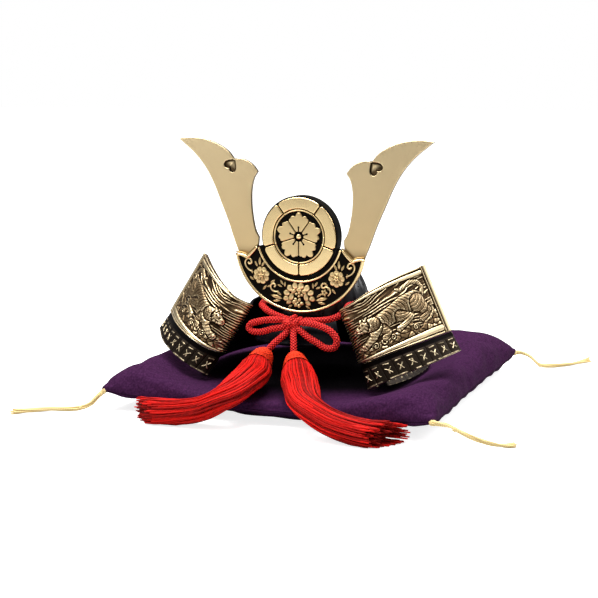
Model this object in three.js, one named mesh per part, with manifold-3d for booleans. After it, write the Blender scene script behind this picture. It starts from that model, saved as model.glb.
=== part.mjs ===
// An ornamental samurai helmet (kabuto) of cast metal, tied with a braided cord, on a square cushion.
// Millimetres, +Z up. The front faces -Y, and the origin is the middle of the cushion's underside.
import * as THREE from 'three';
import { mergeVertices } from 'three/addons/utils/BufferGeometryUtils.js';
import Module from 'manifold-3d';

const wasm = await Module();
wasm.setup();

// ---------------------------------------------------------------- driving dimensions
const GAP = 0.3;                   // clearance between neighbouring pieces
const AXIS_Y = -6;                 // the bowl's vertical axis, measured from the cushion's middle

const CUSHION_HALF = 98;           // half of the cushion's side, corner to corner
const CUSHION_PULL = 3;            // how far each side draws in between its corners
const CUSHION_SEAM_Z = 12;         // height of the seam round the edge
const CUSHION_SEAM_THICK = 2.4;
const CUSHION_CROWN = 23;          // unloaded rise of the top above the seam
const CUSHION_FULLNESS = 0.25;     // lower is a steeper, fuller edge
const CUSHION_SINK = 21;           // how far the helmet presses the top down
const CUSHION_UNDER_FULLNESS = 0.4;
const CUSHION_UNDER_DROP = 1.2;    // the underside's fall from the seam; above 1 it rests flat
const CUSHION_CELLS = 14;
const FOOTPRINT = { halfX: 64, halfY: 74, middleY: -14, full: 0.9, gone: 1.5 };

const BOWL_RADIUS = 30;
const BOWL_HEIGHT = 37;
const BOWL_Z = 50;                 // foot of the bowl
const BOWL_WALL = 2;
const BOWL_RIBS = 16;
const BOWL_RIB = 0.7;              // how far a rib stands out

const VISOR_TOP = { radius: 33, z: 51.5 };
const VISOR_LIP = { radius: 45, z: 37.5 };
const VISOR_HALF_ANGLE = 36;       // degrees either side of the front
const VISOR_THICK = 1.8;
const VISOR_SWELL = 1.5;           // how far its middle rises above a straight flare

const CREST_FRONT_Y = -39.5;       // front face of the crescent plate
const CREST_THICK = 1.6;
const CRESCENT = { radius: 40.4, z: 94, cornerX: 39.7, cornerZ: 86.6 };
const CRESCENT_INNER = { radius: 25.6, cornerX: 26.2, cornerZ: 91.5 };
const CREST_GROUND_INNER = 23.7;    // the plain ground runs on inside the inner rim, to the disc
const BRACKET_CUSP = { x: 32.6, z: 85 };
const BRACKET_PULL = { outerX: 35.5, innerX: 29.8, innerZ: 87.2 };
const RIM_WIDTH = 1.5;
const RIM_RAISE = 0.8;
const OUTER_RIM_END = 0.24;        // radians below level where the gold rims stop
const INNER_RIM_END = 0.34;
const PEONY_RAISE = 1.1;
const ARC_STEPS = 8;

const DISC_Z = 98;
const DISC_FRONT_Y = -39.6;
const DISC_RADIUS = 23.4;
const DISC_THICK = 8;
const RING = { outer: 22.8, inner: 16.2, raise: 0.9 };
const BLOSSOM_RADIUS = 13.9;
const BUTTON_RADIUS = 1.4;
const PARTS_OF_RING = 5;
const SCALLOPS = 5;                // on each petal's outer edge
const BRACKET_BLOCK = { width: 14, depth: 12, height: 14, z: 66 };

const HORN_BACK_LEAN = 1.5;        // degrees
const HORN_FOOT_Z = 78;
const HORN_THICK = 2.4;
const HEART_DEPTH = 1;
const HEART_HALF = 4.2;
const HEART = { x: 44.2, z: 137.9, turn: -37 };

const PLATE_THICK = 2;             // turn-backs, strips and lames
const FRAME_RAISE = 1.1;

const CORD_RADIUS = 2;
const THREAD_RADIUS = 1.3;

// ---------------------------------------------------------------- materials
const finish = (color, roughness, metalness) => (
  new THREE.MeshStandardMaterial({ color, roughness, metalness })
);
const SATIN_GOLD = finish(0xd8bb86, 0.32, 1);
const ANTIQUE_BRONZE = finish(0xb59a78, 0.38, 1);
const DARK_BRONZE = finish(0x4a3e32, 0.45, 1);
const BLACK_LACQUER = finish(0x0d0d10, 0.2, 0.1);
const CREST_GOLD = finish(0xc8a566, 0.35, 1);
const RED_SILK = finish(0xc8202c, 0.6, 0);
const PURPLE_CREPE = finish(0x44224f, 0.85, 0);
const GOLD_THREAD = finish(0xe6cd80, 0.6, 0);

// ---------------------------------------------------------------- solids
function weld(geometry) {
  const bare = geometry.clone();
  bare.deleteAttribute('normal');
  bare.deleteAttribute('uv');
  return mergeVertices(bare, 1e-4);
}

function solidOf(geometry) {
  const welded = weld(geometry);
  return new wasm.Manifold(new wasm.Mesh({
    numProp: 3,
    vertProperties: new Float32Array(welded.attributes.position.array),
    triVerts: new Uint32Array(welded.index.array),
  }));
}

function geometryOf(solid) {
  const mesh = solid.getMesh();
  const geometry = new THREE.BufferGeometry();
  geometry.setAttribute('position', new THREE.BufferAttribute(new Float32Array(mesh.vertProperties), 3));
  geometry.setIndex(new THREE.BufferAttribute(new Uint32Array(mesh.triVerts), 1));
  return geometry;
}

function joined(geometries) {
  const [first, ...rest] = geometries.map(solidOf);
  return geometryOf(rest.reduce((whole, piece) => whole.add(piece), first));
}

function cut(geometry, tool) {
  return geometryOf(solidOf(geometry).subtract(solidOf(tool)));
}

function mirroredX(geometry) {
  const welded = weld(geometry);
  const { position } = welded.attributes;
  for (let i = 0; i < position.count; i += 1) position.setX(i, -position.getX(i));
  const turned = Array.from(welded.index.array);
  for (let i = 0; i < turned.length; i += 3) [turned[i], turned[i + 1]] = [turned[i + 1], turned[i]];
  welded.setIndex(turned);
  return welded;
}

// Moves every vertex of a geometry by a function of its place.
function reshaped(geometry, place) {
  const { position } = geometry.attributes;
  for (let i = 0; i < position.count; i += 1) {
    const moved = place(position.getX(i), position.getY(i), position.getZ(i));
    position.setXYZ(i, moved.x, moved.y, moved.z);
  }
  return geometry;
}

const vector = (x, y, z) => new THREE.Vector3(x, y, z);
const curveThrough = (rows) => new THREE.CatmullRomCurve3(rows.map(({ x, y, z }) => vector(x, y, z)));
const mix = THREE.MathUtils.lerp;
const radians = THREE.MathUtils.degToRad;

// A point above a surface: u and v run over it, and w is the height along its normal.
function above(surface, u, v, w) {
  const step = 1e-3;
  const middle = surface(u, v);
  const alongU = surface(u + step, v).sub(surface(u - step, v));
  const alongV = surface(u, v + step).sub(surface(u, v - step));
  return middle.addScaledVector(alongU.cross(alongV).normalize(), w);
}

// A plate over part of a surface, between the heights `from` and `to` along its normal.
function plateOn(surface, { u = [0, 1], v = [0, 1], from, to, columns, rows }) {
  return reshaped(new THREE.BoxGeometry(1, 1, 1, columns, rows, 1), (x, y, z) => above(
    surface, mix(u[0], u[1], x + 0.5), mix(v[0], v[1], y + 0.5), mix(from, to, z + 0.5),
  ));
}

// A plate on a surface whose face steps up to a raised frame along the rows and columns that say so.
function framedPlateOn(surface, columns, rows, thick) {
  const box = new THREE.BoxGeometry(1, 1, 1, columns.length - 1, rows.length - 1, 1);
  return reshaped(box, (x, y, z) => {
    const column = columns[Math.round((x + 0.5) * (columns.length - 1))];
    const row = rows[Math.round((y + 0.5) * (rows.length - 1))];
    return above(surface, column.at, row.at, z > 0 ? Math.max(column.raise, row.raise) : -thick);
  });
}

// A low rounded swelling on a surface, half sunk in it.
function blobOn(surface, size, { u, v, long, wide, turn, high }) {
  const cos = Math.cos(radians(turn));
  const sin = Math.sin(radians(turn));
  return reshaped(new THREE.SphereGeometry(0.5, 6, 5), (x, y, z) => {
    const across = x * long * cos - y * wide * sin;
    const up = x * long * sin + y * wide * cos;
    return above(surface, u + across / size.u, v + up / size.v, z * 2 * high);
  });
}

function regularSection(sides, radius) {
  const corners = Array.from({ length: sides }, (_, i) => {
    const angle = (2 * Math.PI * i) / sides;
    return new THREE.Vector2(radius * Math.cos(angle), radius * Math.sin(angle));
  });
  return new THREE.Shape(corners);
}

function tube(curve, radius, sides, steps) {
  return new THREE.ExtrudeGeometry(regularSection(sides, radius), {
    steps,
    extrudePath: curve,
    bevelEnabled: false,
  });
}

// An upright plate drawn in X and Z, with its front face at `frontY`.
function uprightPlate(shape, frontY, thick, curveSegments = 12) {
  const plate = new THREE.ExtrudeGeometry(shape, { depth: thick, bevelEnabled: false, curveSegments });
  return plate.rotateX(Math.PI / 2).translate(0, frontY + thick, 0);
}

// ---------------------------------------------------------------- cushion
const bulge = (s) => Math.max(0, 1 - s * s) ** CUSHION_FULLNESS;

// How strongly the helmet's footprint presses at a place, from 0 to 1.
function pressed(x, y) {
  const across = Math.abs(x / FOOTPRINT.halfX);
  const along = Math.abs((y - FOOTPRINT.middleY) / FOOTPRINT.halfY);
  const reach = Math.cbrt(across ** 3 + along ** 3);
  return 1 - THREE.MathUtils.smoothstep(reach, FOOTPRINT.full, FOOTPRINT.gone);
}

function cushionTop(x, y, s, t) {
  const rise = CUSHION_CROWN - CUSHION_SINK * pressed(x, y);
  return CUSHION_SEAM_Z + rise * bulge(s) * bulge(t);
}

// The underside is flat on the floor in the middle, and rounds up to the seam.
function cushionUnder(s, t) {
  const inward = Math.max(0, (1 - s * s) * (1 - t * t));
  const drop = Math.min(1, CUSHION_UNDER_DROP * inward ** CUSHION_UNDER_FULLNESS);
  return (CUSHION_SEAM_Z - CUSHION_SEAM_THICK) * (1 - drop);
}

function cushionGeometry() {
  const grid = new THREE.BoxGeometry(2, 2, 2, CUSHION_CELLS, CUSHION_CELLS, 1);
  return reshaped(grid, (gridX, gridY, gridZ) => {
    const s = Math.sin((gridX * Math.PI) / 2);
    const t = Math.sin((gridY * Math.PI) / 2);
    const x = s * (CUSHION_HALF - CUSHION_PULL * (1 - t * t));
    const y = t * (CUSHION_HALF - CUSHION_PULL * (1 - s * s));
    return vector(x, y, gridZ > 0 ? cushionTop(x, y, s, t) : cushionUnder(s, t));
  });
}

// Each corner's thread bundle, from its knot down to the floor and out along it.
const CORNER_THREADS = {
  front_left: [
    { x: -99.6, y: -99.6, z: 8.6 }, { x: -103, y: -101.6, z: 4.6 }, { x: -110, y: -104, z: 1.8 },
    { x: -124, y: -110, z: 1.6 }, { x: -134, y: -118, z: 1.6 }, { x: -142, y: -125, z: 1.6 },
  ],
  front_right: [
    { x: 99.6, y: -99.6, z: 12 }, { x: 106, y: -100, z: 11.4 }, { x: 113, y: -100, z: 8.6 },
    { x: 122, y: -97, z: 4.8 }, { x: 131, y: -91, z: 1.9 }, { x: 139, y: -86, z: 1.6 },
  ],
  back_right: [
    { x: 99.6, y: 99.6, z: 11.5 }, { x: 105, y: 101, z: 9.6 }, { x: 112, y: 104, z: 3.4 },
    { x: 119, y: 113, z: 1.6 }, { x: 129, y: 124, z: 1.6 }, { x: 140, y: 144, z: 1.6 },
  ],
  back_left: [
    { x: -99.6, y: 99.6, z: 10.5 }, { x: -104, y: 103, z: 7 }, { x: -110, y: 108, z: 2.2 },
    { x: -119, y: 117, z: 1.6 }, { x: -129, y: 124, z: 1.6 }, { x: -140, y: 140, z: 1.6 },
  ],
};
const THREAD_KNOT_RADIUS = 2.4;

function cornerTassel(points) {
  const [start] = points;
  const knot = new THREE.SphereGeometry(THREAD_KNOT_RADIUS, 8, 5).translate(start.x, start.y, start.z);
  return joined([knot, tube(curveThrough(points), THREAD_RADIUS, 6, 9)]);
}

// ---------------------------------------------------------------- bowl, visor and neck guard
function domeProfile(offset, steps) {
  return Array.from({ length: steps + 1 }, (_, i) => {
    const angle = (i / steps) * (Math.PI / 2);
    return new THREE.Vector2(
      (BOWL_RADIUS + offset) * Math.cos(angle),
      BOWL_Z + (BOWL_HEIGHT + offset) * Math.sin(angle),
    );
  });
}

// A LatheGeometry turns about Y, so it is stood up along Z and moved to the bowl's axis.
const standing = (geometry) => geometry.rotateX(Math.PI / 2).translate(0, AXIS_Y, 0);

function bowlGeometry() {
  const outside = domeProfile(0, 6);
  const inside = domeProfile(-BOWL_WALL, 5).reverse();
  const shell = standing(new THREE.LatheGeometry([...inside, ...outside, inside[0]], BOWL_RIBS * 2));
  return reshaped(shell, (x, y, z) => {
    const angle = Math.atan2(y - AXIS_Y, x);
    const rib = Math.max(0, Math.cos(angle * BOWL_RIBS)) ** 4;
    const onWall = Math.hypot(x, y - AXIS_Y) / BOWL_RADIUS;
    const grow = 1 + (BOWL_RIB * rib * onWall) / BOWL_RADIUS;
    return vector(x * grow, AXIS_Y + (y - AXIS_Y) * grow, z);
  });
}

function visorGeometry() {
  const surface = (u, v) => {
    const angle = radians(mix(-VISOR_HALF_ANGLE, VISOR_HALF_ANGLE, u));
    const flare = 1 - v;
    const radius = mix(VISOR_TOP.radius, VISOR_LIP.radius, flare);
    const z = mix(VISOR_TOP.z, VISOR_LIP.z, flare) + VISOR_SWELL * Math.sin(flare * Math.PI);
    return vector(radius * Math.sin(angle), AXIS_Y - radius * Math.cos(angle), z);
  };
  return plateOn(surface, { from: -VISOR_THICK, to: 0, columns: 12, rows: 3 });
}

// The neck guard in plan at three heights, and where its front ends stop (degrees from the back).
const GUARD_LEVELS = [
  { z: 57, side: 38.5, front: 52, back: 42, stop: 137 },
  { z: 31, side: 54, front: 71.4, back: 58, stop: 131 },
  { z: 17.6, side: 64, front: 81.8, back: 68, stop: 127 },
];
const GUARD_ROUNDNESS = 2.2;
const LAME_EDGES = [57, 45, 33, 24.5, 17.6];
const LAME_STEP = 1.3;             // how far each lame's lower edge stands out from the next one's top

function guardLevel(z) {
  const [top, middle, rim] = GUARD_LEVELS;
  const [high, low] = z > middle.z ? [top, middle] : [middle, rim];
  const share = (high.z - z) / (high.z - low.z);
  return Object.fromEntries(Object.keys(high).map((key) => [key, mix(high[key], low[key], share)]));
}

function guardPoint(along, z, outward) {
  const level = guardLevel(z);
  const angle = radians(level.stop * along);
  const depth = Math.cos(angle) > 0 ? level.back : level.front;
  const radius = (Math.abs(Math.sin(angle) / level.side) ** GUARD_ROUNDNESS
    + Math.abs(Math.cos(angle) / depth) ** GUARD_ROUNDNESS) ** (-1 / GUARD_ROUNDNESS) + outward;
  return vector(radius * Math.sin(angle), AXIS_Y + radius * Math.cos(angle), z);
}

function lameGeometry(index) {
  const top = LAME_EDGES[index] - GAP / 2;
  const foot = LAME_EDGES[index + 1] + GAP / 2;
  return reshaped(new THREE.BoxGeometry(1, 1, 1, 28, 1, 1), (x, y, z) => guardPoint(
    -2 * x, mix(foot, top, y + 0.5), LAME_STEP * (0.5 - y) + PLATE_THICK * (z - 0.5),
  ));
}

// ---------------------------------------------------------------- turn-backs and lacing strips
// Edges of the right-hand turn-back, from inside the bend to the outer end.
const TURNBACK_TOP = curveThrough([
  { x: 29.6, y: -41, z: 57.4 }, { x: 27.6, y: -45.4, z: 57.8 }, { x: 35.5, y: -50.8, z: 63 },
  { x: 45, y: -48, z: 69.8 }, { x: 56.4, y: -37.3, z: 76.8 }, { x: 69.1, y: -20.4, z: 82.9 },
]);
const TURNBACK_FOOT = curveThrough([
  { x: 46, y: -47.6, z: 29.4 }, { x: 42.4, y: -53, z: 29.6 }, { x: 49.6, y: -59.4, z: 33 },
  { x: 62, y: -57.4, z: 38.4 }, { x: 76, y: -46.3, z: 43.6 }, { x: 88, y: -29.5, z: 47.6 },
]);
const STRIP_FOOT = curveThrough([
  { x: 53.5, y: -55.5, z: 17.2 }, { x: 49.6, y: -60, z: 17 }, { x: 57.5, y: -63, z: 21.6 },
  { x: 69, y: -60.3, z: 27 }, { x: 82.5, y: -50.6, z: 32.6 }, { x: 94.8, y: -32.4, z: 37.6 },
]);
const TURNBACK_SIZE = { u: 62, v: 38 };
const STRIP_TOP_SHARE = 0.035;     // the strip starts just below the turn-back's foot

const between = (low, high) => (u, v) => low.getPointAt(THREE.MathUtils.clamp(u, 0, 1))
  .lerp(high.getPointAt(THREE.MathUtils.clamp(u, 0, 1)), v);
const turnbackSurface = between(TURNBACK_FOOT, TURNBACK_TOP);
const stripSurface = between(STRIP_FOOT, TURNBACK_FOOT);

// The prowling tiger as low swellings; turn is degrees from the plate's length.
const TIGER = [
  { u: 0.55, v: 0.5, long: 15, wide: 8.5, turn: 35, high: 1.5 },      // chest
  { u: 0.7, v: 0.64, long: 17, wide: 8, turn: 32, high: 1.6 },        // back
  { u: 0.83, v: 0.68, long: 9, wide: 10, turn: 0, high: 1.5 },        // rump
  { u: 0.41, v: 0.36, long: 8.5, wide: 7, turn: 20, high: 1.9 },      // head
  { u: 0.47, v: 0.24, long: 11, wide: 3.6, turn: 60, high: 1.2 },     // near foreleg
  { u: 0.39, v: 0.16, long: 7, wide: 3, turn: 30, high: 1.1 },        // near forepaw
  { u: 0.6, v: 0.32, long: 9, wide: 3.4, turn: 125, high: 1.1 },      // far foreleg
  { u: 0.76, v: 0.42, long: 12, wide: 3.8, turn: 60, high: 1.2 },     // near hind leg
  { u: 0.87, v: 0.46, long: 12, wide: 4, turn: 110, high: 1.2 },      // far hind leg
  { u: 0.86, v: 0.84, long: 8, wide: 2, turn: 100, high: 1 },         // tail
  { u: 0.79, v: 0.87, long: 8, wide: 2, turn: 15, high: 1 },          // tail's end
];

// Places along and across a turn-back, and how far the frame is raised at each.
const TURNBACK_COLUMNS = [
  ...[0, 0.03, 0.06, 0.09, 0.12, 0.16, 0.21, 0.27, 0.36, 0.46, 0.57, 0.69, 0.81, 0.952]
    .map((at) => ({ at, raise: 0 })),
  { at: 0.958, raise: FRAME_RAISE }, { at: 1, raise: FRAME_RAISE },
];
const TURNBACK_ROWS = [
  { at: 0, raise: FRAME_RAISE }, { at: 0.12, raise: FRAME_RAISE }, { at: 0.13, raise: 0 },
  { at: 0.9, raise: 0 }, { at: 0.91, raise: FRAME_RAISE }, { at: 1, raise: FRAME_RAISE },
];

function turnbackGeometry() {
  return joined([
    framedPlateOn(turnbackSurface, TURNBACK_COLUMNS, TURNBACK_ROWS, PLATE_THICK),
    ...TIGER.map((swelling) => blobOn(turnbackSurface, TURNBACK_SIZE, swelling)),
  ]);
}

function stripGeometry() {
  return plateOn(stripSurface, {
    v: [0, 1 - STRIP_TOP_SHARE], from: -PLATE_THICK, to: 0, columns: 18, rows: 1,
  });
}

// ---------------------------------------------------------------- crest
// The bracket-shaped top end of the crescent, from corner to corner; side is 1 or -1.
function bracketTo(shape, side, inwards) {
  const cusp = [side * BRACKET_CUSP.x, BRACKET_CUSP.z];
  const outer = [side * CRESCENT.cornerX, CRESCENT.cornerZ];
  const inner = [side * CRESCENT_INNER.cornerX, CRESCENT_INNER.cornerZ];
  const outerPull = [side * BRACKET_PULL.outerX, CRESCENT.cornerZ];
  const innerPull = [side * BRACKET_PULL.innerX, BRACKET_PULL.innerZ];
  if (inwards) {
    shape.quadraticCurveTo(...outerPull, ...cusp);
    shape.quadraticCurveTo(...innerPull, ...inner);
  } else {
    shape.quadraticCurveTo(...innerPull, ...cusp);
    shape.quadraticCurveTo(...outerPull, ...outer);
  }
}

function crescentShape() {
  const outerTurn = Math.atan2(CRESCENT.cornerZ - CRESCENT.z, CRESCENT.cornerX);
  const innerTurn = Math.atan2(CRESCENT_INNER.cornerZ - DISC_Z, CRESCENT_INNER.cornerX);
  const shape = new THREE.Shape();
  shape.moveTo(-CRESCENT.cornerX, CRESCENT.cornerZ);
  shape.absarc(0, CRESCENT.z, CRESCENT.radius, Math.PI - outerTurn, outerTurn, false);
  bracketTo(shape, 1, true);
  shape.absarc(0, DISC_Z, CREST_GROUND_INNER, innerTurn, Math.PI - innerTurn, true);
  shape.lineTo(-CRESCENT_INNER.cornerX, CRESCENT_INNER.cornerZ);
  bracketTo(shape, -1, false);
  return shape;
}

// A band between two arcs about one centre.
function bandShape(z, inner, outer, fromAngle, toAngle) {
  const band = new THREE.Shape();
  band.absarc(0, z, outer, fromAngle, toAngle, false);
  band.absarc(0, z, inner, toAngle, fromAngle, true);
  return band;
}

const PEONIES = [
  { x: 0, z: 64.2, radius: 6.6 }, { x: -23.8, z: 74, radius: 4.6 }, { x: 23.8, z: 74, radius: 4.6 },
  { x: -26, z: 81.6, radius: 2 }, { x: 26, z: 81.6, radius: 2 },
  { x: -13, z: 66.4, radius: 2.4 }, { x: 13, z: 66.4, radius: 2.4 },
];

function peony({ x, z, radius }) {
  const dome = new THREE.SphereGeometry(1, 8, 4).scale(radius, PEONY_RAISE, radius);
  return dome.translate(x, CREST_FRONT_Y + GAP, z);
}

function crestPlateGeometry() {
  const rimFront = CREST_FRONT_Y - RIM_RAISE;
  const rimThick = RIM_RAISE + CREST_THICK / 2;
  const outerRim = bandShape(CRESCENT.z, CRESCENT.radius - RIM_WIDTH, CRESCENT.radius,
    Math.PI + OUTER_RIM_END, 2 * Math.PI - OUTER_RIM_END);
  const innerRim = bandShape(DISC_Z, CRESCENT_INNER.radius, CRESCENT_INNER.radius + RIM_WIDTH,
    Math.PI + INNER_RIM_END, 2 * Math.PI - INNER_RIM_END);
  return joined([
    uprightPlate(crescentShape(), CREST_FRONT_Y, CREST_THICK, ARC_STEPS),
    uprightPlate(outerRim, rimFront, rimThick, ARC_STEPS),
    uprightPlate(innerRim, rimFront, rimThick, ARC_STEPS),
    ...PEONIES.map(peony),
  ]);
}

const petalAngle = (index) => Math.PI / 2 + (index * 2 * Math.PI) / PARTS_OF_RING;
const onDisc = (radius, angle) => (
  new THREE.Vector2(radius * Math.cos(angle), DISC_Z + radius * Math.sin(angle))
);

// Raised from the disc's face, and sunk 1 mm in it so the two join.
const raisedOnDisc = (shape, steps) => (
  uprightPlate(shape, DISC_FRONT_Y - RING.raise, RING.raise + 1, steps)
);

function ringPart(index) {
  const slit = 0.035;
  const half = Math.PI / PARTS_OF_RING - slit;
  const middle = petalAngle(index);
  return raisedOnDisc(bandShape(DISC_Z, RING.inner, RING.outer, middle - half, middle + half), 5);
}

function petal(index) {
  const slit = 0.05;
  const half = Math.PI / PARTS_OF_RING - slit;
  const middle = petalAngle(index);
  const steps = SCALLOPS * 3;
  const edge = Array.from({ length: steps + 1 }, (_, i) => {
    const share = i / steps;
    const shoulder = 1 - 0.28 * Math.abs(2 * share - 1) ** 3;
    const scallop = 0.93 + 0.07 * Math.abs(Math.sin(share * SCALLOPS * Math.PI));
    return onDisc(BLOSSOM_RADIUS * shoulder * scallop, middle + mix(-half, half, share));
  });
  return raisedOnDisc(new THREE.Shape([onDisc(1.5 * BUTTON_RADIUS, middle), ...edge]), 1);
}

function crestDiscGeometry() {
  const slab = new THREE.CylinderGeometry(DISC_RADIUS, DISC_RADIUS, DISC_THICK, 40)
    .translate(0, DISC_FRONT_Y + DISC_THICK / 2, DISC_Z);
  const button = raisedOnDisc(bandShape(DISC_Z, 0, BUTTON_RADIUS, 0, 2 * Math.PI), 10);
  const parts = Array.from({ length: PARTS_OF_RING }, (_, i) => i);
  return joined([slab, button, ...parts.map(ringPart), ...parts.map(petal)]);
}

// The right-hand horn's outline: up its outer edge to the tip, back to the notch, over the rounded
// lobe, and down its inner edge.
const HORN_OUTER_EDGE = [
  { x: 39.5, z: 88.2 }, { x: 42.2, z: 95 }, { x: 45.9, z: 105.3 }, { x: 50.7, z: 116.5 },
  { x: 55, z: 126.5 }, { x: 60.3, z: 135.8 }, { x: 67.3, z: 144 }, { x: 78.2, z: 152.9 },
];
const HORN_UPPER_EDGE = [
  { x: 78.2, z: 152.9 }, { x: 70.5, z: 153.6 }, { x: 61, z: 152.7 }, { x: 52, z: 149.6 },
  { x: 46, z: 145.8 }, { x: 42.1, z: 141.2 },
];
const HORN_LOBE = [
  { x: 42.1, z: 141.2 }, { x: 38.4, z: 141.8 }, { x: 33.6, z: 140.4 }, { x: 29.9, z: 137.8 },
  { x: 27.2, z: 134.4 },
];
const HORN_INNER_EDGE = [
  { x: 27.2, z: 134.4 }, { x: 29.6, z: 130.6 }, { x: 31, z: 124.5 }, { x: 31.2, z: 118 },
  { x: 30.5, z: 110 }, { x: 28.4, z: 100.4 }, { x: 26.2, z: 96.4 },
];
const HORN_ROOT = { outerX: 35.5, innerX: 27.5, innerZ: 82 };

function hornShape() {
  const edges = [HORN_OUTER_EDGE, HORN_UPPER_EDGE, HORN_LOBE, HORN_INNER_EDGE].map((rows) => (
    new THREE.SplineCurve(rows.map(({ x, z }) => new THREE.Vector2(x, z))).getPoints(2 * rows.length)
  ));
  return new THREE.Shape([
    new THREE.Vector2(HORN_ROOT.outerX, HORN_FOOT_Z),
    ...edges.flatMap((points) => points.slice(0, -1)),
    new THREE.Vector2(HORN_INNER_EDGE.at(-1).x, HORN_INNER_EDGE.at(-1).z),
    new THREE.Vector2(HORN_ROOT.innerX, HORN_ROOT.innerZ),
  ]);
}

// A heart pointing at the notch, leaned over like the horn.
function heartShape() {
  const heart = new THREE.Shape();
  heart.moveTo(0, HEART_HALF);
  heart.bezierCurveTo(2, 2.4, HEART_HALF, 0.6, HEART_HALF, -1.2);
  heart.bezierCurveTo(HEART_HALF, -3.8, 0.8, -3.9, 0, -1.9);
  heart.bezierCurveTo(-0.8, -3.9, -HEART_HALF, -3.8, -HEART_HALF, -1.2);
  heart.bezierCurveTo(-HEART_HALF, 0.6, -2, 2.4, 0, HEART_HALF);
  return heart;
}

function hornGeometry() {
  const front = CREST_FRONT_Y + CREST_THICK + GAP;
  const plate = uprightPlate(hornShape(), front, HORN_THICK, 1);
  const recess = uprightPlate(heartShape(), 0, 2 * HEART_DEPTH, 5)
    .rotateY(radians(HEART.turn)).translate(HEART.x, front - HEART_DEPTH, HEART.z);
  return cut(plate, recess)
    .translate(0, -front, -HORN_FOOT_Z)
    .rotateX(radians(-HORN_BACK_LEAN))
    .translate(0, front, HORN_FOOT_Z);
}

// Joins the crest to the front of the bowl.
function crestBracketGeometry() {
  const { width, depth, height, z } = BRACKET_BLOCK;
  const backOfCrest = CREST_FRONT_Y + CREST_THICK;
  const block = new THREE.BoxGeometry(width, depth, height).translate(0, backOfCrest + GAP + depth / 2, z);
  const room = domeProfile(BOWL_RIB + GAP, 8);
  return cut(block, standing(new THREE.LatheGeometry([new THREE.Vector2(0, BOWL_Z), ...room], 48)));
}

// ---------------------------------------------------------------- cord, bow and tassels
// The cord round the foot of the bowl, from the left of the knot to its right.
const BAND = { radius: 33.2, sideZ: 57.6, frontAngle: 52 };
const BAND_LEFT = [
  { x: -5.2, y: -47.4, z: 51.2 }, { x: -15, y: -45.6, z: 53.8 }, { x: -23, y: -39.8, z: 56.8 },
];
const BAND_RIGHT = [
  { x: 26.4, y: -38.6, z: 54.6 }, { x: 21.5, y: -44.4, z: 52.2 }, { x: 14, y: -46.8, z: 51.2 },
  { x: 5.2, y: -47.4, z: 50.8 },
];

function cordBandCurve() {
  const steps = 16;
  const round = Array.from({ length: steps + 1 }, (_, i) => {
    const angle = radians(mix(-180 + BAND.frontAngle, 180 - BAND.frontAngle, i / steps));
    return { x: BAND.radius * Math.sin(angle), y: AXIS_Y + BAND.radius * Math.cos(angle), z: BAND.sideZ };
  });
  return curveThrough([...BAND_LEFT, ...round, ...BAND_RIGHT]);
}

const KNOT = { x: 0.4, y: -50.4, z: 50, halfX: 4.9, halfY: 4.4, halfZ: 4.7 };

const BOW_LOOP_LEFT = [
  { x: -5, y: -53, z: 51.4 }, { x: -12, y: -53.6, z: 51.2 }, { x: -20, y: -52.8, z: 49.6 },
  { x: -25.2, y: -52, z: 47.4 }, { x: -26.2, y: -52, z: 45.2 }, { x: -23.6, y: -52.8, z: 43.6 },
  { x: -17, y: -53.8, z: 44 }, { x: -11, y: -54, z: 46 }, { x: -6.4, y: -53.6, z: 47 },
];
const BOW_LOOP_RIGHT = [
  { x: 5.8, y: -53, z: 50.6 }, { x: 12.6, y: -53.8, z: 50.6 }, { x: 20, y: -54.6, z: 49.4 },
  { x: 26.4, y: -55.6, z: 46.6 }, { x: 29.4, y: -56.2, z: 42.6 }, { x: 28.2, y: -56.4, z: 38.6 },
  { x: 23.4, y: -56.2, z: 37.6 }, { x: 17, y: -55.2, z: 40.2 }, { x: 11, y: -54.2, z: 43 },
  { x: 6.6, y: -53.2, z: 45.8 },
];
const BOW_END_LEFT = [
  { x: -2.4, y: -53.4, z: 44.3 }, { x: -4.8, y: -55.8, z: 41.6 }, { x: -7.8, y: -58, z: 38.6 },
  { x: -10.2, y: -59.6, z: 35.6 },
];
const BOW_END_RIGHT = [
  { x: 2.6, y: -54.4, z: 44.2 }, { x: 3.5, y: -56.8, z: 41.2 }, { x: 4.4, y: -58.8, z: 38 },
  { x: 5, y: -60.4, z: 35 },
];

function knotGeometry() {
  const ball = new THREE.SphereGeometry(1, 14, 10).scale(KNOT.halfX, KNOT.halfY, KNOT.halfZ);
  return ball.translate(KNOT.x, KNOT.y, KNOT.z);
}

// Each tassel's middle line, from the top of its head to the tips of its threads.
const TASSEL_LEFT = [
  { x: -10.7, y: -60, z: 35 }, { x: -13.2, y: -64, z: 30 }, { x: -13.4, y: -73, z: 24.8 },
  { x: -12, y: -89, z: 22.8 }, { x: -16.5, y: -104.6, z: 17.4 }, { x: -28, y: -108.8, z: 10.6 },
  { x: -47, y: -109, z: 6.4 }, { x: -75, y: -109.4, z: 5 },
];
const TASSEL_RIGHT = [
  { x: 5.3, y: -60.9, z: 34.4 }, { x: 8.2, y: -65, z: 29 }, { x: 14.5, y: -76, z: 23.6 },
  { x: 22, y: -91.6, z: 22.8 }, { x: 31, y: -106, z: 17 }, { x: 46, y: -110, z: 9.8 },
  { x: 62, y: -109.8, z: 6 }, { x: 86, y: -109.4, z: 5 },
];
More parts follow.
